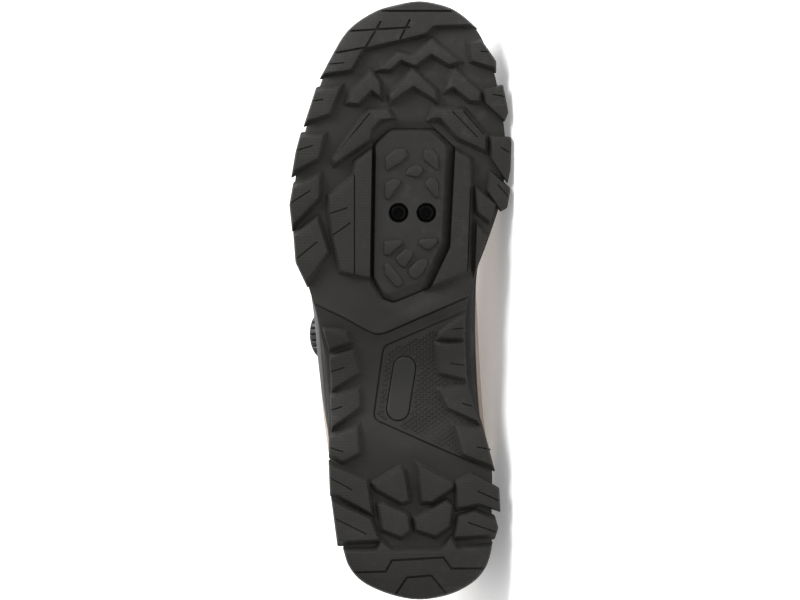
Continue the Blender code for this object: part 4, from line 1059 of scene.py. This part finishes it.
def make_inlay():
    rings = []
    for grow, z in ((-0.0009, LUG_HEIGHT - 0.0003), (-0.0003, LUG_HEIGHT - 0.00018),
                    (0.0, LUG_HEIGHT + 0.0002), (0.0, LUG_HEIGHT + 0.0015)):
        rings.append((stadium(grow), z))
    mesh = bend(solid("waist_inlay_look", rings), INLAY_GRID)
    smooth(mesh, 40)
    place_piece("waist_inlay_look", mesh, "inlay", "inlay_rubber", "waist_inlay")


def bolt_centres():
    middle = plan(BOLTS_AT)
    half = Vector((0.0, BOLT_SPACING / 2))
    return ("lateral", middle - half), ("medial", middle + half)


def round_stack(name, centre, profile, base, steps=40, turn=0.0):
    """A closed round form on a plan point: (radius, height over the base) rings."""
    one, two = Vector((1.0, 0.0)), Vector((0.0, 1.0))
    return solid(name, [(wheel(centre, one, two, radius, steps, turn), base + z) for radius, z in profile])


def make_cover():
    corners, slopes = cover_sides(COVER_SLOPES)
    rings = []
    for share, z in ((1.06, 0.0), (1.0, 0.00008), (0.94, 0.0003), (0.10, 0.0022), (0.0, 0.0026),
                     (0.0, COVER_BACK - COVER_FACE)):
        moved = offset_sides(corners, [-slope * share for slope in slopes])
        rings.append((rounded(moved, COVER_CORNER, 3), COVER_FACE + z))
    bore = ((COUNTERBORE / 2 + 0.0006, -0.0006), (COUNTERBORE / 2, 0.0002),
            (COUNTERBORE / 2, COVER_BACK - COVER_FACE + 0.001))
    holes = [round_stack("bore", centre, bore, COVER_FACE) for _, centre in bolt_centres()]
    parts = [carved(solid("cleat_cover_look", rings), holes)]
    for name, *tips in COVER_LUGS:
        tip = turned_left(plans(tips))
        rings = []
        for offset, z in COVER_LUG_LEVELS:
            ring = rounded(offset_sides(tip, [offset] * len(tip)), COVER_LUG_CORNER, 3)
            rings.append((ring, COVER_FACE - COVER_LUG_HEIGHT + z))
        parts.append(solid(name, rings))
    whole = joined("cleat_cover_look", parts)
    smooth(whole, 34)
    place_piece("cleat_cover_look", whole, "cover", "cover_rubber", "cleat_cover")


# The heads' near-black look is partly painted shade of the counterbore, which is shallower here.
def make_bolts():
    face = COVER_FACE + BOLT_SINK
    radius = BOLT_HEAD / 2
    head = ((radius * 0.58, 0.0), (radius * 0.74, 0.00012), (radius * 0.88, 0.00038),
            (radius * 0.97, 0.0008), (radius, 0.0013), (radius, 0.0024))
    for side, centre in bolt_centres():
        socket = round_stack("socket", centre, SOCKET, face, SOCKET_SIDES, SOCKET_TURN)
        mesh = carved(round_stack("bolt", centre, head, face), [socket])
        smooth(mesh, 30)
        name = "cleat_bolt_" + side
        place_piece(name + "_look", mesh, "bolt", "bolt_steel", name)


# Upper, from the same sections as the solid

def last_value(column, place):
    return spline_value([row[column] for row in LAST_ROWS], place)


def topline_loop():
    sides = []
    for across in (TOP_LATERAL, TOP_MEDIAL):
        sides.append([Vector((row[TOP_ALONG] * ALONG, row[across] * ACROSS,
                              row[TOP_HEIGHT] * INSTEP_HEIGHT)) for row in LAST_ROWS])
    return sides[0] + sides[1][-2:0:-1]


TOPLINE = topline_loop()


def topline_point(side, place):
    position = LAST.position(side, place)
    index = math.floor(position)
    four = [TOPLINE[(index + k) % len(TOPLINE)] for k in (-1, 0, 1, 2)]
    return spline_point(*four, position - index)


def upper_point(side, place, t):
    foot_plan = LAST.point(side, place, UPPER_INSET)
    foot = Vector((foot_plan.x, foot_plan.y, float(footbed_line(foot_plan.x)) + GAP))
    top = topline_point(side, place)
    height = top.z - foot.z
    low = foot + LAST.normal(side, place).to_3d() * last_value(BELLY, place) * ACROSS
    low.z += last_value(RISE, place) * height
    high = top + (foot - top).to_2d().to_3d() * last_value(REACH, place)
    high.z -= last_value(DROP, place) * height
    s = 1.0 - t
    return foot * s ** 3 + low * (3 * s * s * t) + high * (3 * s * t * t) + top * t ** 3


def upper_normal(side, place, t):
    step = SLOPE_STEP
    low, high = max(place - step, 0.0), min(place + step, LAST.count)
    along = upper_point(side, high, t) - upper_point(side, low, t)
    if place < step or place > LAST.count - step:
        edge = step if place < step else LAST.count - step
        along = upper_point(side, edge, t) - upper_point(-side, edge, t)
        along = along if (place < step) else -along
    rise = upper_point(side, place, min(t + step, 1.0)) - upper_point(side, place, max(t - step, 0.0))
    return (along.cross(rise) * -side).normalized()


def wall_thickness(place, t):
    padded = max(last_value(PAD, place), 0.0) * smooth_step((t - PAD_FROM) / PAD_BLEND)
    return WALL + COLLAR_PAD * padded


# Creases where the forefoot bends: side, place, length up the wall from and to, width in places,
# depth (plus is a trough)
CREASES = (
    (-1, 11.35, 0.20, 0.95, 0.30, 0.0011),
    (-1, 11.95, 0.15, 0.90, 0.28, -0.0007),
    (-1, 12.55, 0.25, 0.92, 0.26, 0.0008),
    (1, 11.45, 0.18, 0.92, 0.30, 0.0010),
    (1, 12.05, 0.20, 0.90, 0.26, -0.0007),
    (1, 12.65, 0.28, 0.92, 0.26, 0.0007),
    (-1, 5.6, 0.30, 0.70, 0.50, 0.0006),
    (1, 5.8, 0.30, 0.72, 0.50, 0.0006),
    (-1, 2.4, 0.35, 0.75, 0.45, 0.0005),
    (1, 2.6, 0.35, 0.75, 0.45, 0.0005),
)


CREASE_LEAN = 0.6


def crease_depth(side, place, t):
    depth = 0.0
    for at_side, at, low, high, width, deep in CREASES:
        if side != at_side or not low < t < high:
            continue
        lean = at + CREASE_LEAN * (t - low)
        across = abs(place - lean) / width
        if across < 1.0:
            fade = math.sin(math.pi * (t - low) / (high - low))
            depth += deep * fade * (1.0 + math.cos(math.pi * across)) / 2
    return depth


def skin_point(side, place, t, lift=0.0):
    """Point of the upper's outer face with its creases, raised by the lift."""
    return (upper_point(side, place, t)
            + upper_normal(side, place, t) * (lift - crease_depth(side, place, t)))


def inner_point(side, place, t, extra=0.0):
    depth = wall_thickness(place, t) + extra
    if t == 0.0:
        return upper_point(side, place, t) - LAST.normal(side, place).to_3d() * depth
    return upper_point(side, place, t) - upper_normal(side, place, t) * depth


COLUMNS_PER_ROW = 8
UPPER_ROWS = 30
# How high the collar's round edge stands, as a share of the wall, and where its slope is measured
CREST_SHARE = 0.45
CREST_SLOPE_FROM = 0.96
LINING_OFF_WALL = 0.00035
LINING_OFF_CREST = 0.0004
LINING_THICKNESS = 0.0003


def thicken(piece, thickness):
    """Give an open sheet its thickness, inward from the face that is seen."""
    thick = piece.modifiers.new("cloth thickness", "SOLIDIFY")
    thick.thickness = thickness
    thick.offset = -1.0


def make_upper():
    columns = ring_columns(LAST, COLUMNS_PER_ROW)
    heights = [k / UPPER_ROWS for k in range(UPPER_ROWS + 1)]
    rows = [[skin_point(side, place, t) for side, place in columns] for t in heights]
    for angle in (0.25, 0.5, 0.75):
        rows.append([crest_point(side, place, angle) for side, place in columns])
    for t in (1.0, 0.9, 0.8, 0.65, 0.5, 0.35, 0.2, 0.1, 0.0):
        rows.append([inner_point(side, place, t) for side, place in columns])
    mesh = mesh_from("upper_shell", flat(rows), grid_faces(len(rows), len(columns), round_rows=True))
    smooth(mesh, 60)
    place_piece("upper_shell", mesh, "upper", "upper_fabric", "upper")


def crest_point(side, place, angle, extra=0.0):
    """Point on the round edge of the collar or throat, from the outer face over to the inner."""
    outer, inner = upper_point(side, place, 1.0), inner_point(side, place, 1.0)
    up = (outer - upper_point(side, place, CREST_SLOPE_FROM)).normalized()
    middle, half = (outer + inner) / 2, (outer - inner) / 2
    turn = math.pi * angle
    over = wall_thickness(place, 1.0) * CREST_SHARE
    return middle + half * math.cos(turn) * (1 + extra / half.length) + up * math.sin(turn) * (over + extra)


def make_lining():
    """Padded lining: up the inner wall, over the collar's edge and a little down outside."""
    columns = ring_columns(LAST, COLUMNS_PER_ROW)
    rows = []
    for t in (0.0, 0.12, 0.25, 0.38, 0.5, 0.6, 0.7, 0.8, 0.88, 0.95, 1.0):
        rows.append([inner_point(side, place, t, LINING_OFF_WALL) for side, place in columns])
    for angle in (0.85, 0.7, 0.55, 0.4, 0.25, 0.1):
        rows.append([crest_point(side, place, angle, LINING_OFF_CREST) for side, place in columns])
    for t, lift in ((0.985, 0.0005), (0.965, 0.0005), (0.95, 0.0002), (0.945, -0.0004)):
        rows.append([skin_point(side, place, t, lift) for side, place in columns])
    mesh = mesh_from("collar_lining", flat(rows), grid_faces(len(rows), len(columns)))
    smooth(mesh, 60)
    lining = place_piece("collar_lining", mesh, "lining", "tongue_fabric")
    thicken(lining, LINING_THICKNESS)


# Overlay panels on both sides of the upper: name, then rows of place, lower edge, upper edge
PANELS = (
    ("toe_rand", ((10.8, 0.0, 0.10), (11.6, 0.0, 0.16), (12.6, 0.0, 0.25), (13.6, 0.0, 0.36),
                  (14.6, 0.0, 0.46), (15.4, 0.0, 0.52), (16.0, 0.0, 0.54))),
    ("heel_counter", ((0.0, 0.0, 0.56), (0.8, 0.0, 0.56), (1.6, 0.0, 0.54), (2.4, 0.0, 0.48),
                      (3.2, 0.0, 0.34), (4.0, 0.0, 0.18), (4.8, 0.0, 0.10))),
    ("eyestay", ((7.9, 0.76, 0.90), (8.4, 0.77, 0.97), (9.2, 0.79, 0.985), (10.2, 0.80, 0.985),
                 (11.2, 0.79, 0.985), (12.2, 0.78, 0.985), (13.0, 0.79, 0.985), (13.8, 0.82, 0.985),
                 (14.8, 0.85, 0.985), (16.0, 0.86, 0.985))),
)
# The same for panels on one side: name, side, rows
SIDE_PANELS = (
    ("side_panel_lateral", -1, ((4.7, 0.0, 0.08), (5.2, 0.0, 0.04), (5.8, 0.0, 0.07), (6.6, 0.0, 0.11),
                                (7.4, 0.0, 0.15), (8.4, 0.0, 0.17), (9.6, 0.0, 0.14), (11.0, 0.0, 0.11))),
    ("side_panel_medial", 1, ((4.7, 0.0, 0.08), (5.4, 0.0, 0.04), (8.0, 0.0, 0.04), (10.0, 0.0, 0.06),
                              (11.0, 0.0, 0.11))),
)
PANEL_LIFT = 0.0007
PANEL_THICKNESS = 0.0005
# Places across a panel, denser at its edges, and the share of the lift at its outer three places
PANEL_ACROSS = (0.0, 0.012, 0.04, 0.10, 0.2, 0.3, 0.4, 0.5, 0.6, 0.7, 0.8, 0.90, 0.96, 0.988, 1.0)
PANEL_EDGE = (-0.3, 0.75, 1.0)


def table_value(rows, column, place):
    return float(np.interp(place, [row[0] for row in rows], [row[column] for row in rows]))


def panel_columns(rows, side):
    """Columns of (side, place, t) across a panel, from one end of its table to the other."""
    first, last = rows[0][0], rows[-1][0]
    steps = int((last - first) * COLUMNS_PER_ROW)
    columns = []
    for k in range(steps + 1):
        place = mix(first, last, k / steps)
        low, high = table_value(rows, 1, place), table_value(rows, 2, place)
        columns.append([(side, place, mix(low, high, share)) for share in PANEL_ACROSS])
    return columns


def edge_lift(k, count):
    """Share of the lift at the k-th of count places, which dips under the skin at both ends."""
    end = min(k, count - 1 - k)
    return PANEL_EDGE[end] if end < len(PANEL_EDGE) else 1.0


def make_panel(name, rows, sides):
    """One overlay on one side, or on both where it runs round the heel or toe."""
    columns = panel_columns(rows, sides[0])
    if len(sides) > 1:
        other = panel_columns(rows, sides[1])
        at_heel = rows[0][0] == 0.0
        columns = columns[::-1] + other[1:] if at_heel else columns + other[-2::-1]
    points = []
    for k, column in enumerate(columns):
        fade = edge_lift(k, len(columns))
        for j, spot in enumerate(column):
            points.append(skin_point(*spot, PANEL_LIFT * min(edge_lift(j, len(column)), fade)))
    mesh = mesh_from(name, points, grid_faces(len(columns), len(PANEL_ACROSS), round_columns=False))
    smooth(mesh, 70)
    thicken(place_piece(name, mesh, "panel", "upper_fabric"), PANEL_THICKNESS)


STITCH_LENGTH = 0.0024
STITCH_GAP = 0.0011
STITCH_WIDTH = 0.0006
STITCH_START = 0.12
STITCH_SIDES = 6
# Steps by which a line of stitches is followed, to each place
STITCH_STEPS = 40
# Column of a panel's table that two rows of stitches follow, and the first row's distance from it
STITCH_EDGES = {"toe_rand": (2, -0.030), "heel_counter": (2, -0.030), "eyestay": (1, 0.022)}
SECOND_ROW = 1.9
# Rings of a stitch: share of its length, share of its width, how far it stands off the surface
STITCH_RINGS = ((0.0, 0.35, -0.5), (0.15, 0.85, 0.1), (0.5, 1.0, 0.35), (0.85, 0.85, 0.1), (1.0, 0.35, -0.5))


def add_stitch(shape, a, b, normal):
    """One stitch: a short thread that dips under the surface at both ends."""
    across = (b - a).normalized().cross(normal).normalized()
    rings = []
    for share, size, dip in STITCH_RINGS:
        centre = mix(a, b, share) + normal * STITCH_WIDTH * dip
        rings.append(wheel(centre, across, normal, STITCH_WIDTH * size / 2, STITCH_SIDES))
    tube(shape, rings)


def stitch_line(shape, side, rows, column, inset):
    """Stitches along a panel's edge, a little inside it."""
    first, last = rows[0][0], rows[-1][0]
    count = int((last - first) * STITCH_STEPS)
    run, start, before = 0.0, None, None
    for k in range(count + 1):
        place = mix(first + STITCH_START, last, k / count)
        t = table_value(rows, column, place) + inset
        here = skin_point(side, place, t, PANEL_LIFT)
        if before is None:
            start = here
        else:
            run += (here - before).length
            if start is not None and run >= STITCH_LENGTH:
                add_stitch(shape, start, here, upper_normal(side, place, t))
                start, run = None, 0.0
            elif start is None and run >= STITCH_GAP:
                start, run = here, 0.0
        before = here


def make_stitches():
    def build(shape):
        for side in (-1, 1):
            for name, rows in PANELS:
                edge, step = STITCH_EDGES[name]
                stitch_line(shape, side, rows, edge, step)
                stitch_line(shape, side, rows, edge, step * SECOND_ROW)

    mesh = mesh_of("stitches", build)
    smooth(mesh, 60)
    place_piece("stitches", mesh, "thread", "upper_fabric")


# Groups of pinholes: side, place from and to, height from and to, rows along and up
PINHOLES = (
    (1, 8.6, 10.8, 0.30, 0.62, 9, 5),
    (-1, 9.4, 11.0, 0.30, 0.60, 7, 5),
    (1, 12.6, 14.2, 0.58, 0.74, 6, 3),
    (-1, 12.6, 14.2, 0.58, 0.74, 6, 3),
    (1, 5.2, 7.4, 0.30, 0.58, 8, 4),
    (-1, 4.6, 6.6, 0.30, 0.58, 8, 4),
)
PINHOLE_RADIUS = 0.00065
# Rings of a pinhole's disc: share of its radius, lift off the surface
PINHOLE_RINGS = ((1.25, -0.0002), (1.1, 0.00010), (0.8, 0.00012))
PINHOLE_STEPS = 12


# Each pinhole is a dark disc standing just off the skin, not a hole: its colour is painted shade of the
# hole.
def add_pinhole(shape, side, place, t):
    normal = upper_normal(side, place, t)
    centre = skin_point(side, place, t)
    one = normal.orthogonal().normalized()
    two = normal.cross(one)
    rings = []
    for size, lift in PINHOLE_RINGS:
        rings.append(wheel(centre + normal * lift, one, two, PINHOLE_RADIUS * size, PINHOLE_STEPS))
    tube(shape, rings)


def make_pinholes():
    def build(shape):
        for side, p0, p1, t0, t1, along, up in PINHOLES:
            for i in range(along):
                for j in range(up):
                    place = mix(p0, p1, (i + 0.5 * (j % 2)) / along)
                    add_pinhole(shape, side, place, mix(t0, t1, j / (up - 1)))

    place_piece("pinholes", mesh_of("pinholes", build), "pinhole", "upper_fabric")


# Profile of the midsole's side: share of its height, how far it lies inside the last's outline
MIDSOLE_PROFILE = ((0.0, 0.0034), (0.03, 0.0028), (0.10, 0.0024), (0.22, 0.0017), (0.34, 0.0011),
                   (0.40, 0.0010), (0.43, 0.0016), (0.47, 0.0016), (0.50, 0.0008), (0.60, 0.0003),
                   (0.72, 0.0), (0.84, 0.0001), (0.92, 0.0005), (0.97, 0.0011), (1.0, 0.0022),
                   (1.0, 0.0060))


def midsole_point(side, place, share, inset):
    spot = LAST.point(side, place, inset)
    low, high = float(base_top_z(spot.x)) + GAP, float(footbed_line(spot.x))
    return Vector((spot.x, spot.y, mix(low, high, share)))


def make_midsole():
    """Foam wall with a rolled rim and a long groove, closed level at top and bottom."""
    columns = ring_columns(LAST, COLUMNS_PER_ROW)
    rows = [[midsole_point(*column, *level) for column in columns] for level in MIDSOLE_PROFILE]
    count = len(columns)
    faces = grid_faces(len(rows), count)
    half = LAST.count * COLUMNS_PER_ROW
    for base in (0, (len(rows) - 1) * count):
        for k in range(half):
            a, b = base + k, base + k + 1
            c, d = base + (count - k - 1) % count, base + (count - k) % count
            face = list(dict.fromkeys((a, b, c, d)))
            if len(face) > 2:
                faces.append(face)
    mesh = mesh_from("midsole_foam", flat(rows), faces)
    smooth(mesh, 40)
    place_piece("midsole_foam", mesh, "midsole", "midsole_foam", "midsole")


def bridge(a, b, from_a, from_b, t):
    """Point of a smooth curve from a to b that leaves them along the two given directions."""
    reach = (b - a).length * BRIDGE_REACH
    c1, c2 = a + from_a.normalized() * reach, b + from_b.normalized() * reach
    s = 1.0 - t
    return a * s ** 3 + c1 * (3 * s * s * t) + c2 * (3 * s * t * t) + b * t ** 3


def tongue_section(place, arm, depth):
    sides = {}
    for side in (-1, 1):
        sides[side] = [inner_point(side, place, 1.0 - arm * k / 2, depth) for k in range(3)]
    lateral, medial = sides[-1], sides[1]
    crown = [bridge(lateral[0], medial[0], lateral[0] - lateral[1], medial[0] - medial[1], t)
             for t in (0.2, 0.4, 0.6, 0.8)]
    return list(reversed(lateral)) + crown + medial


def make_tongue():
    sections = []
    for place in TONGUE_PLACES:
        free = smooth_step((TONGUE_FREE_FROM - place) / (TONGUE_FREE_FROM - TONGUE_PLACES[-1]))
        depth = mix(TONGUE_CLEARANCE, TONGUE_FREE_DEPTH, free)
        sections.append(tongue_section(place, TONGUE_ARM * (1.0 - TONGUE_ARM_LOSS * free), depth))
    top = sections[-1]
    centre = sum(top, Vector()) / len(top)
    rise = Vector((-math.sin(TONGUE_LEAN), 0.0, math.cos(TONGUE_LEAN)))
    crown = max(point.z for point in top)
    for share, width, level in TONGUE_FLAP:
        section = []
        for point in top:
            moved = point + rise * TONGUE_RISE * share
            moved.y = centre.y + (point.y - centre.y) * width
            moved.z += (crown - point.z) * level
            section.append(moved)
        sections.append(section)
    mesh = solid_sheet("tongue_pad", sections, TONGUE_THICKNESS, Vector((0.0, 0.0, -1.0)))
    smooth(mesh, 80)
    tongue = place_piece("tongue_pad", mesh, "tongue", "tongue_fabric", "tongue")
    soften = tongue.modifiers.new("padding", "SUBSURF")
    soften.levels = soften.render_levels = 3


def solid_sheet(name, rows, thickness, towards):
    """A closed solid from a grid of points, thickened towards one direction along its normals."""
    count, width = len(rows), len(rows[0])
    normals = []
    for r in range(count):
        for c in range(width):
            along = rows[min(r + 1, count - 1)][c] - rows[max(r - 1, 0)][c]
            across = rows[r][min(c + 1, width - 1)] - rows[r][max(c - 1, 0)]
            normals.append(along.cross(across).normalized())
    turn = 1.0 if sum(normals, Vector()).dot(towards) > 0 else -1.0
    front = flat(rows)
    back = [point + normal * turn * thickness for point, normal in zip(front, normals)]
    lower = len(front)
    faces = []
    for quad in grid_faces(count, width, round_columns=False):
        faces.append(quad)
        faces.append([lower + k for k in reversed(quad)])
    border = [c for c in range(width)] + [r * width + width - 1 for r in range(1, count)]
    border += [(count - 1) * width + c for c in range(width - 2, -1, -1)]
    border += [r * width for r in range(count - 2, 0, -1)]
    for a, b in zip(border, border[1:] + border[:1]):
        faces.append([a, b, lower + b, lower + a])
    return mesh_from(name, front + back, faces)


# Dial, and the solids that are shown as they are

def surface_frame(side, place, t):
    """Frame on the upper's outer face: X forward along it, Z out of it."""
    origin = upper_point(side, place, t)
    up = upper_normal(side, place, t)
    step = 0.05
    along = upper_point(side, place + step, t) - upper_point(side, place - step, t)
    along = (along - up * along.dot(up)).normalized()
    return Matrix.Translation(origin) @ Matrix((along, up.cross(along), up)).transposed().to_4x4()


def turned(name, at, profile, steps, radius_at=None):
    """A turned form in a frame: (radius, height) rings, with an optional change round the ring."""
    points = []
    for radius, height in profile:
        for k in range(steps):
            angle = 2 * math.pi * k / steps
            r = radius_at(radius, height, angle) if radius_at else radius
            points.append(at @ Vector((r * math.cos(angle), r * math.sin(angle), height)))
    last = (len(profile) - 1) * steps
    faces = grid_faces(len(profile), steps)
    faces.append(list(reversed(range(steps))))
    faces.append([last + k for k in range(steps)])
    return mesh_from(name, points, faces)


def make_dial():
    at = surface_frame(-1, DIAL_PLACE, DIAL_UP)
    radius, height = DIAL_BASE_DIAMETER / 2, DIAL_BASE_HEIGHT
    profile = ((radius * 0.9, -DIAL_SINK), (radius * 1.01, -DIAL_SINK / 2), (radius, height * 0.45),
               (radius * 0.985, height * 0.75), (radius * 0.95, height * 0.95),
               (radius * 0.90, height + SEAT_GAP))
    mesh = turned("dial_base_look", at, profile, DIAL_BASE_STEPS)
    smooth(mesh, 40)
    place_piece("dial_base_look", mesh, "dial", "dial_plastic", "dial_base")

    foot = height + SEAT_GAP + GAP
    radius, height = DIAL_DIAMETER / 2, DIAL_HEIGHT

    def knurled(r, z, angle):
        share = smooth_step((r / radius - 0.92) / 0.05) * smooth_step((foot + height - z) / 0.0010)
        groove = max(0.0, math.cos(DIAL_KNURLS * angle)) ** 2
        return r - KNURL_DEPTH * groove * share

    profile = ((radius * 0.90, foot), (radius * 0.97, foot + 0.0002), (radius, foot + 0.0008),
               (radius, foot + height * 0.45), (radius, foot + height * 0.75),
               (radius * 0.985, foot + height * 0.88), (radius * 0.93, foot + height * 0.97),
               (radius * 0.86, foot + height), (radius * 0.70, foot + height),
               (radius * 0.66, foot + height - 0.0006), (radius * 0.60, foot + height - 0.0007),
               (radius * 0.56, foot + height - 0.0002), (radius * 0.30, foot + height))
    mesh = turned("dial_knob_look", at, profile, DIAL_KNURLS * KNURL_STEPS, knurled)
    smooth(mesh, 38)
    place_piece("dial_knob_look", mesh, "dial", "dial_plastic", "dial_knob")


def dress_carried_nodes():
    for node, look in CARRIED_LOOKS.items():
        mesh = frame["nodes"][node].data
        mesh.materials.clear()
        mesh.materials.append(LOOKS[look])


# Stage. The photo shows the sole over so many pixels, in a frame of a known width

SOLE_PIXELS = 603.0
PIXEL = LENGTH / SOLE_PIXELS
VIEW_CENTRE = Vector((0.1521, -0.0025, 0.0))
VIEW_DISTANCE = 5.0
FRAME_WIDTH = 800
SENSOR_WIDTH = 36.0
CLIP_END = 50.0
FLOOR_REACH = 12.0
# World light: axis, then direction from and to, and strength from and to
WORLD_LIGHT = (("Y", -1.0, 0.3, 0.56, 1.20), ("X", -0.8, 0.8, 0.50, 1.50))
KEY_PLACE = (1.0, -0.35, 1.35)
KEY_TARGET = (0.0, 0.0, 0.04)
KEY_SIZE = 0.85
KEY_POWER = 22.0


def make_camera():
    data = bpy.data.cameras.new("camera")
    data.sensor_width = SENSOR_WIDTH
    data.lens = data.sensor_width * VIEW_DISTANCE / (FRAME_WIDTH * PIXEL)
    data.clip_end = CLIP_END
    camera = placed("camera", data)
    # The view looks up at the tread, with the toe at the top of the picture
    turn = Matrix(((0.0, 1.0, 0.0), (1.0, 0.0, 0.0), (0.0, 0.0, -1.0)))
    place = Matrix.Translation(VIEW_CENTRE - Vector((0.0, 0.0, VIEW_DISTANCE)))
    camera.matrix_world = SHOE @ place @ turn.to_4x4()
    bpy.context.scene.camera = camera


# The floor's look glows a little, as painted light that fills in the shoe's shadow on it.
def make_floor():
    def build(shape):
        bmesh.ops.create_grid(shape, x_segments=1, y_segments=1, size=FLOOR_REACH)

    mesh = mesh_of("floor", build)
    mesh.materials.append(LOOKS["floor"])
    placed("floor", mesh)


def make_key_light():
    data = bpy.data.lights.new("key", "AREA")
    data.shape = "DISK"
    data.size = KEY_SIZE
    data.energy = KEY_POWER
    light = placed("key", data)
    light.location = KEY_PLACE
    light.rotation_euler = (Vector(KEY_TARGET) - Vector(KEY_PLACE)).to_track_quat("-Z", "Y").to_euler()


def make_world():
    world = bpy.data.worlds.new("studio")
    world.use_nodes = True
    tree = world.node_tree
    background = tree.nodes["Background"]
    background.inputs["Color"].default_value = (1.0, 1.0, 1.0, 1.0)
    towards = tree.nodes.new("ShaderNodeSeparateXYZ")
    tree.links.new(tree.nodes.new("ShaderNodeTexCoord").outputs["Generated"], towards.inputs["Vector"])
    strength = tree.nodes.new("ShaderNodeMath")
    strength.operation = "MULTIPLY"
    for slot, (axis, first, last, low, high) in enumerate(WORLD_LIGHT):
        share = tree.nodes.new("ShaderNodeMapRange")
        for key, number in (("From Min", first), ("From Max", last), ("To Min", low), ("To Max", high)):
            share.inputs[key].default_value = number
        tree.links.new(towards.outputs[axis], share.inputs["Value"])
        tree.links.new(share.outputs["Result"], strength.inputs[slot])
    tree.links.new(strength.outputs["Value"], background.inputs["Strength"])
    bpy.context.scene.world = world


make_base()
make_lugs()
make_studs()
make_inlay()
make_cover()
make_bolts()
make_midsole()
make_upper()
make_lining()
for panel_name, panel_table in PANELS:
    make_panel(panel_name, panel_table, (-1, 1))
for panel_name, panel_side, panel_table in SIDE_PANELS:
    make_panel(panel_name, panel_table, (panel_side,))
make_stitches()
make_pinholes()
make_tongue()
make_dial()
dress_carried_nodes()
make_floor()
make_world()
make_key_light()
make_camera()
bpy.context.scene.view_settings.view_transform = "Standard"
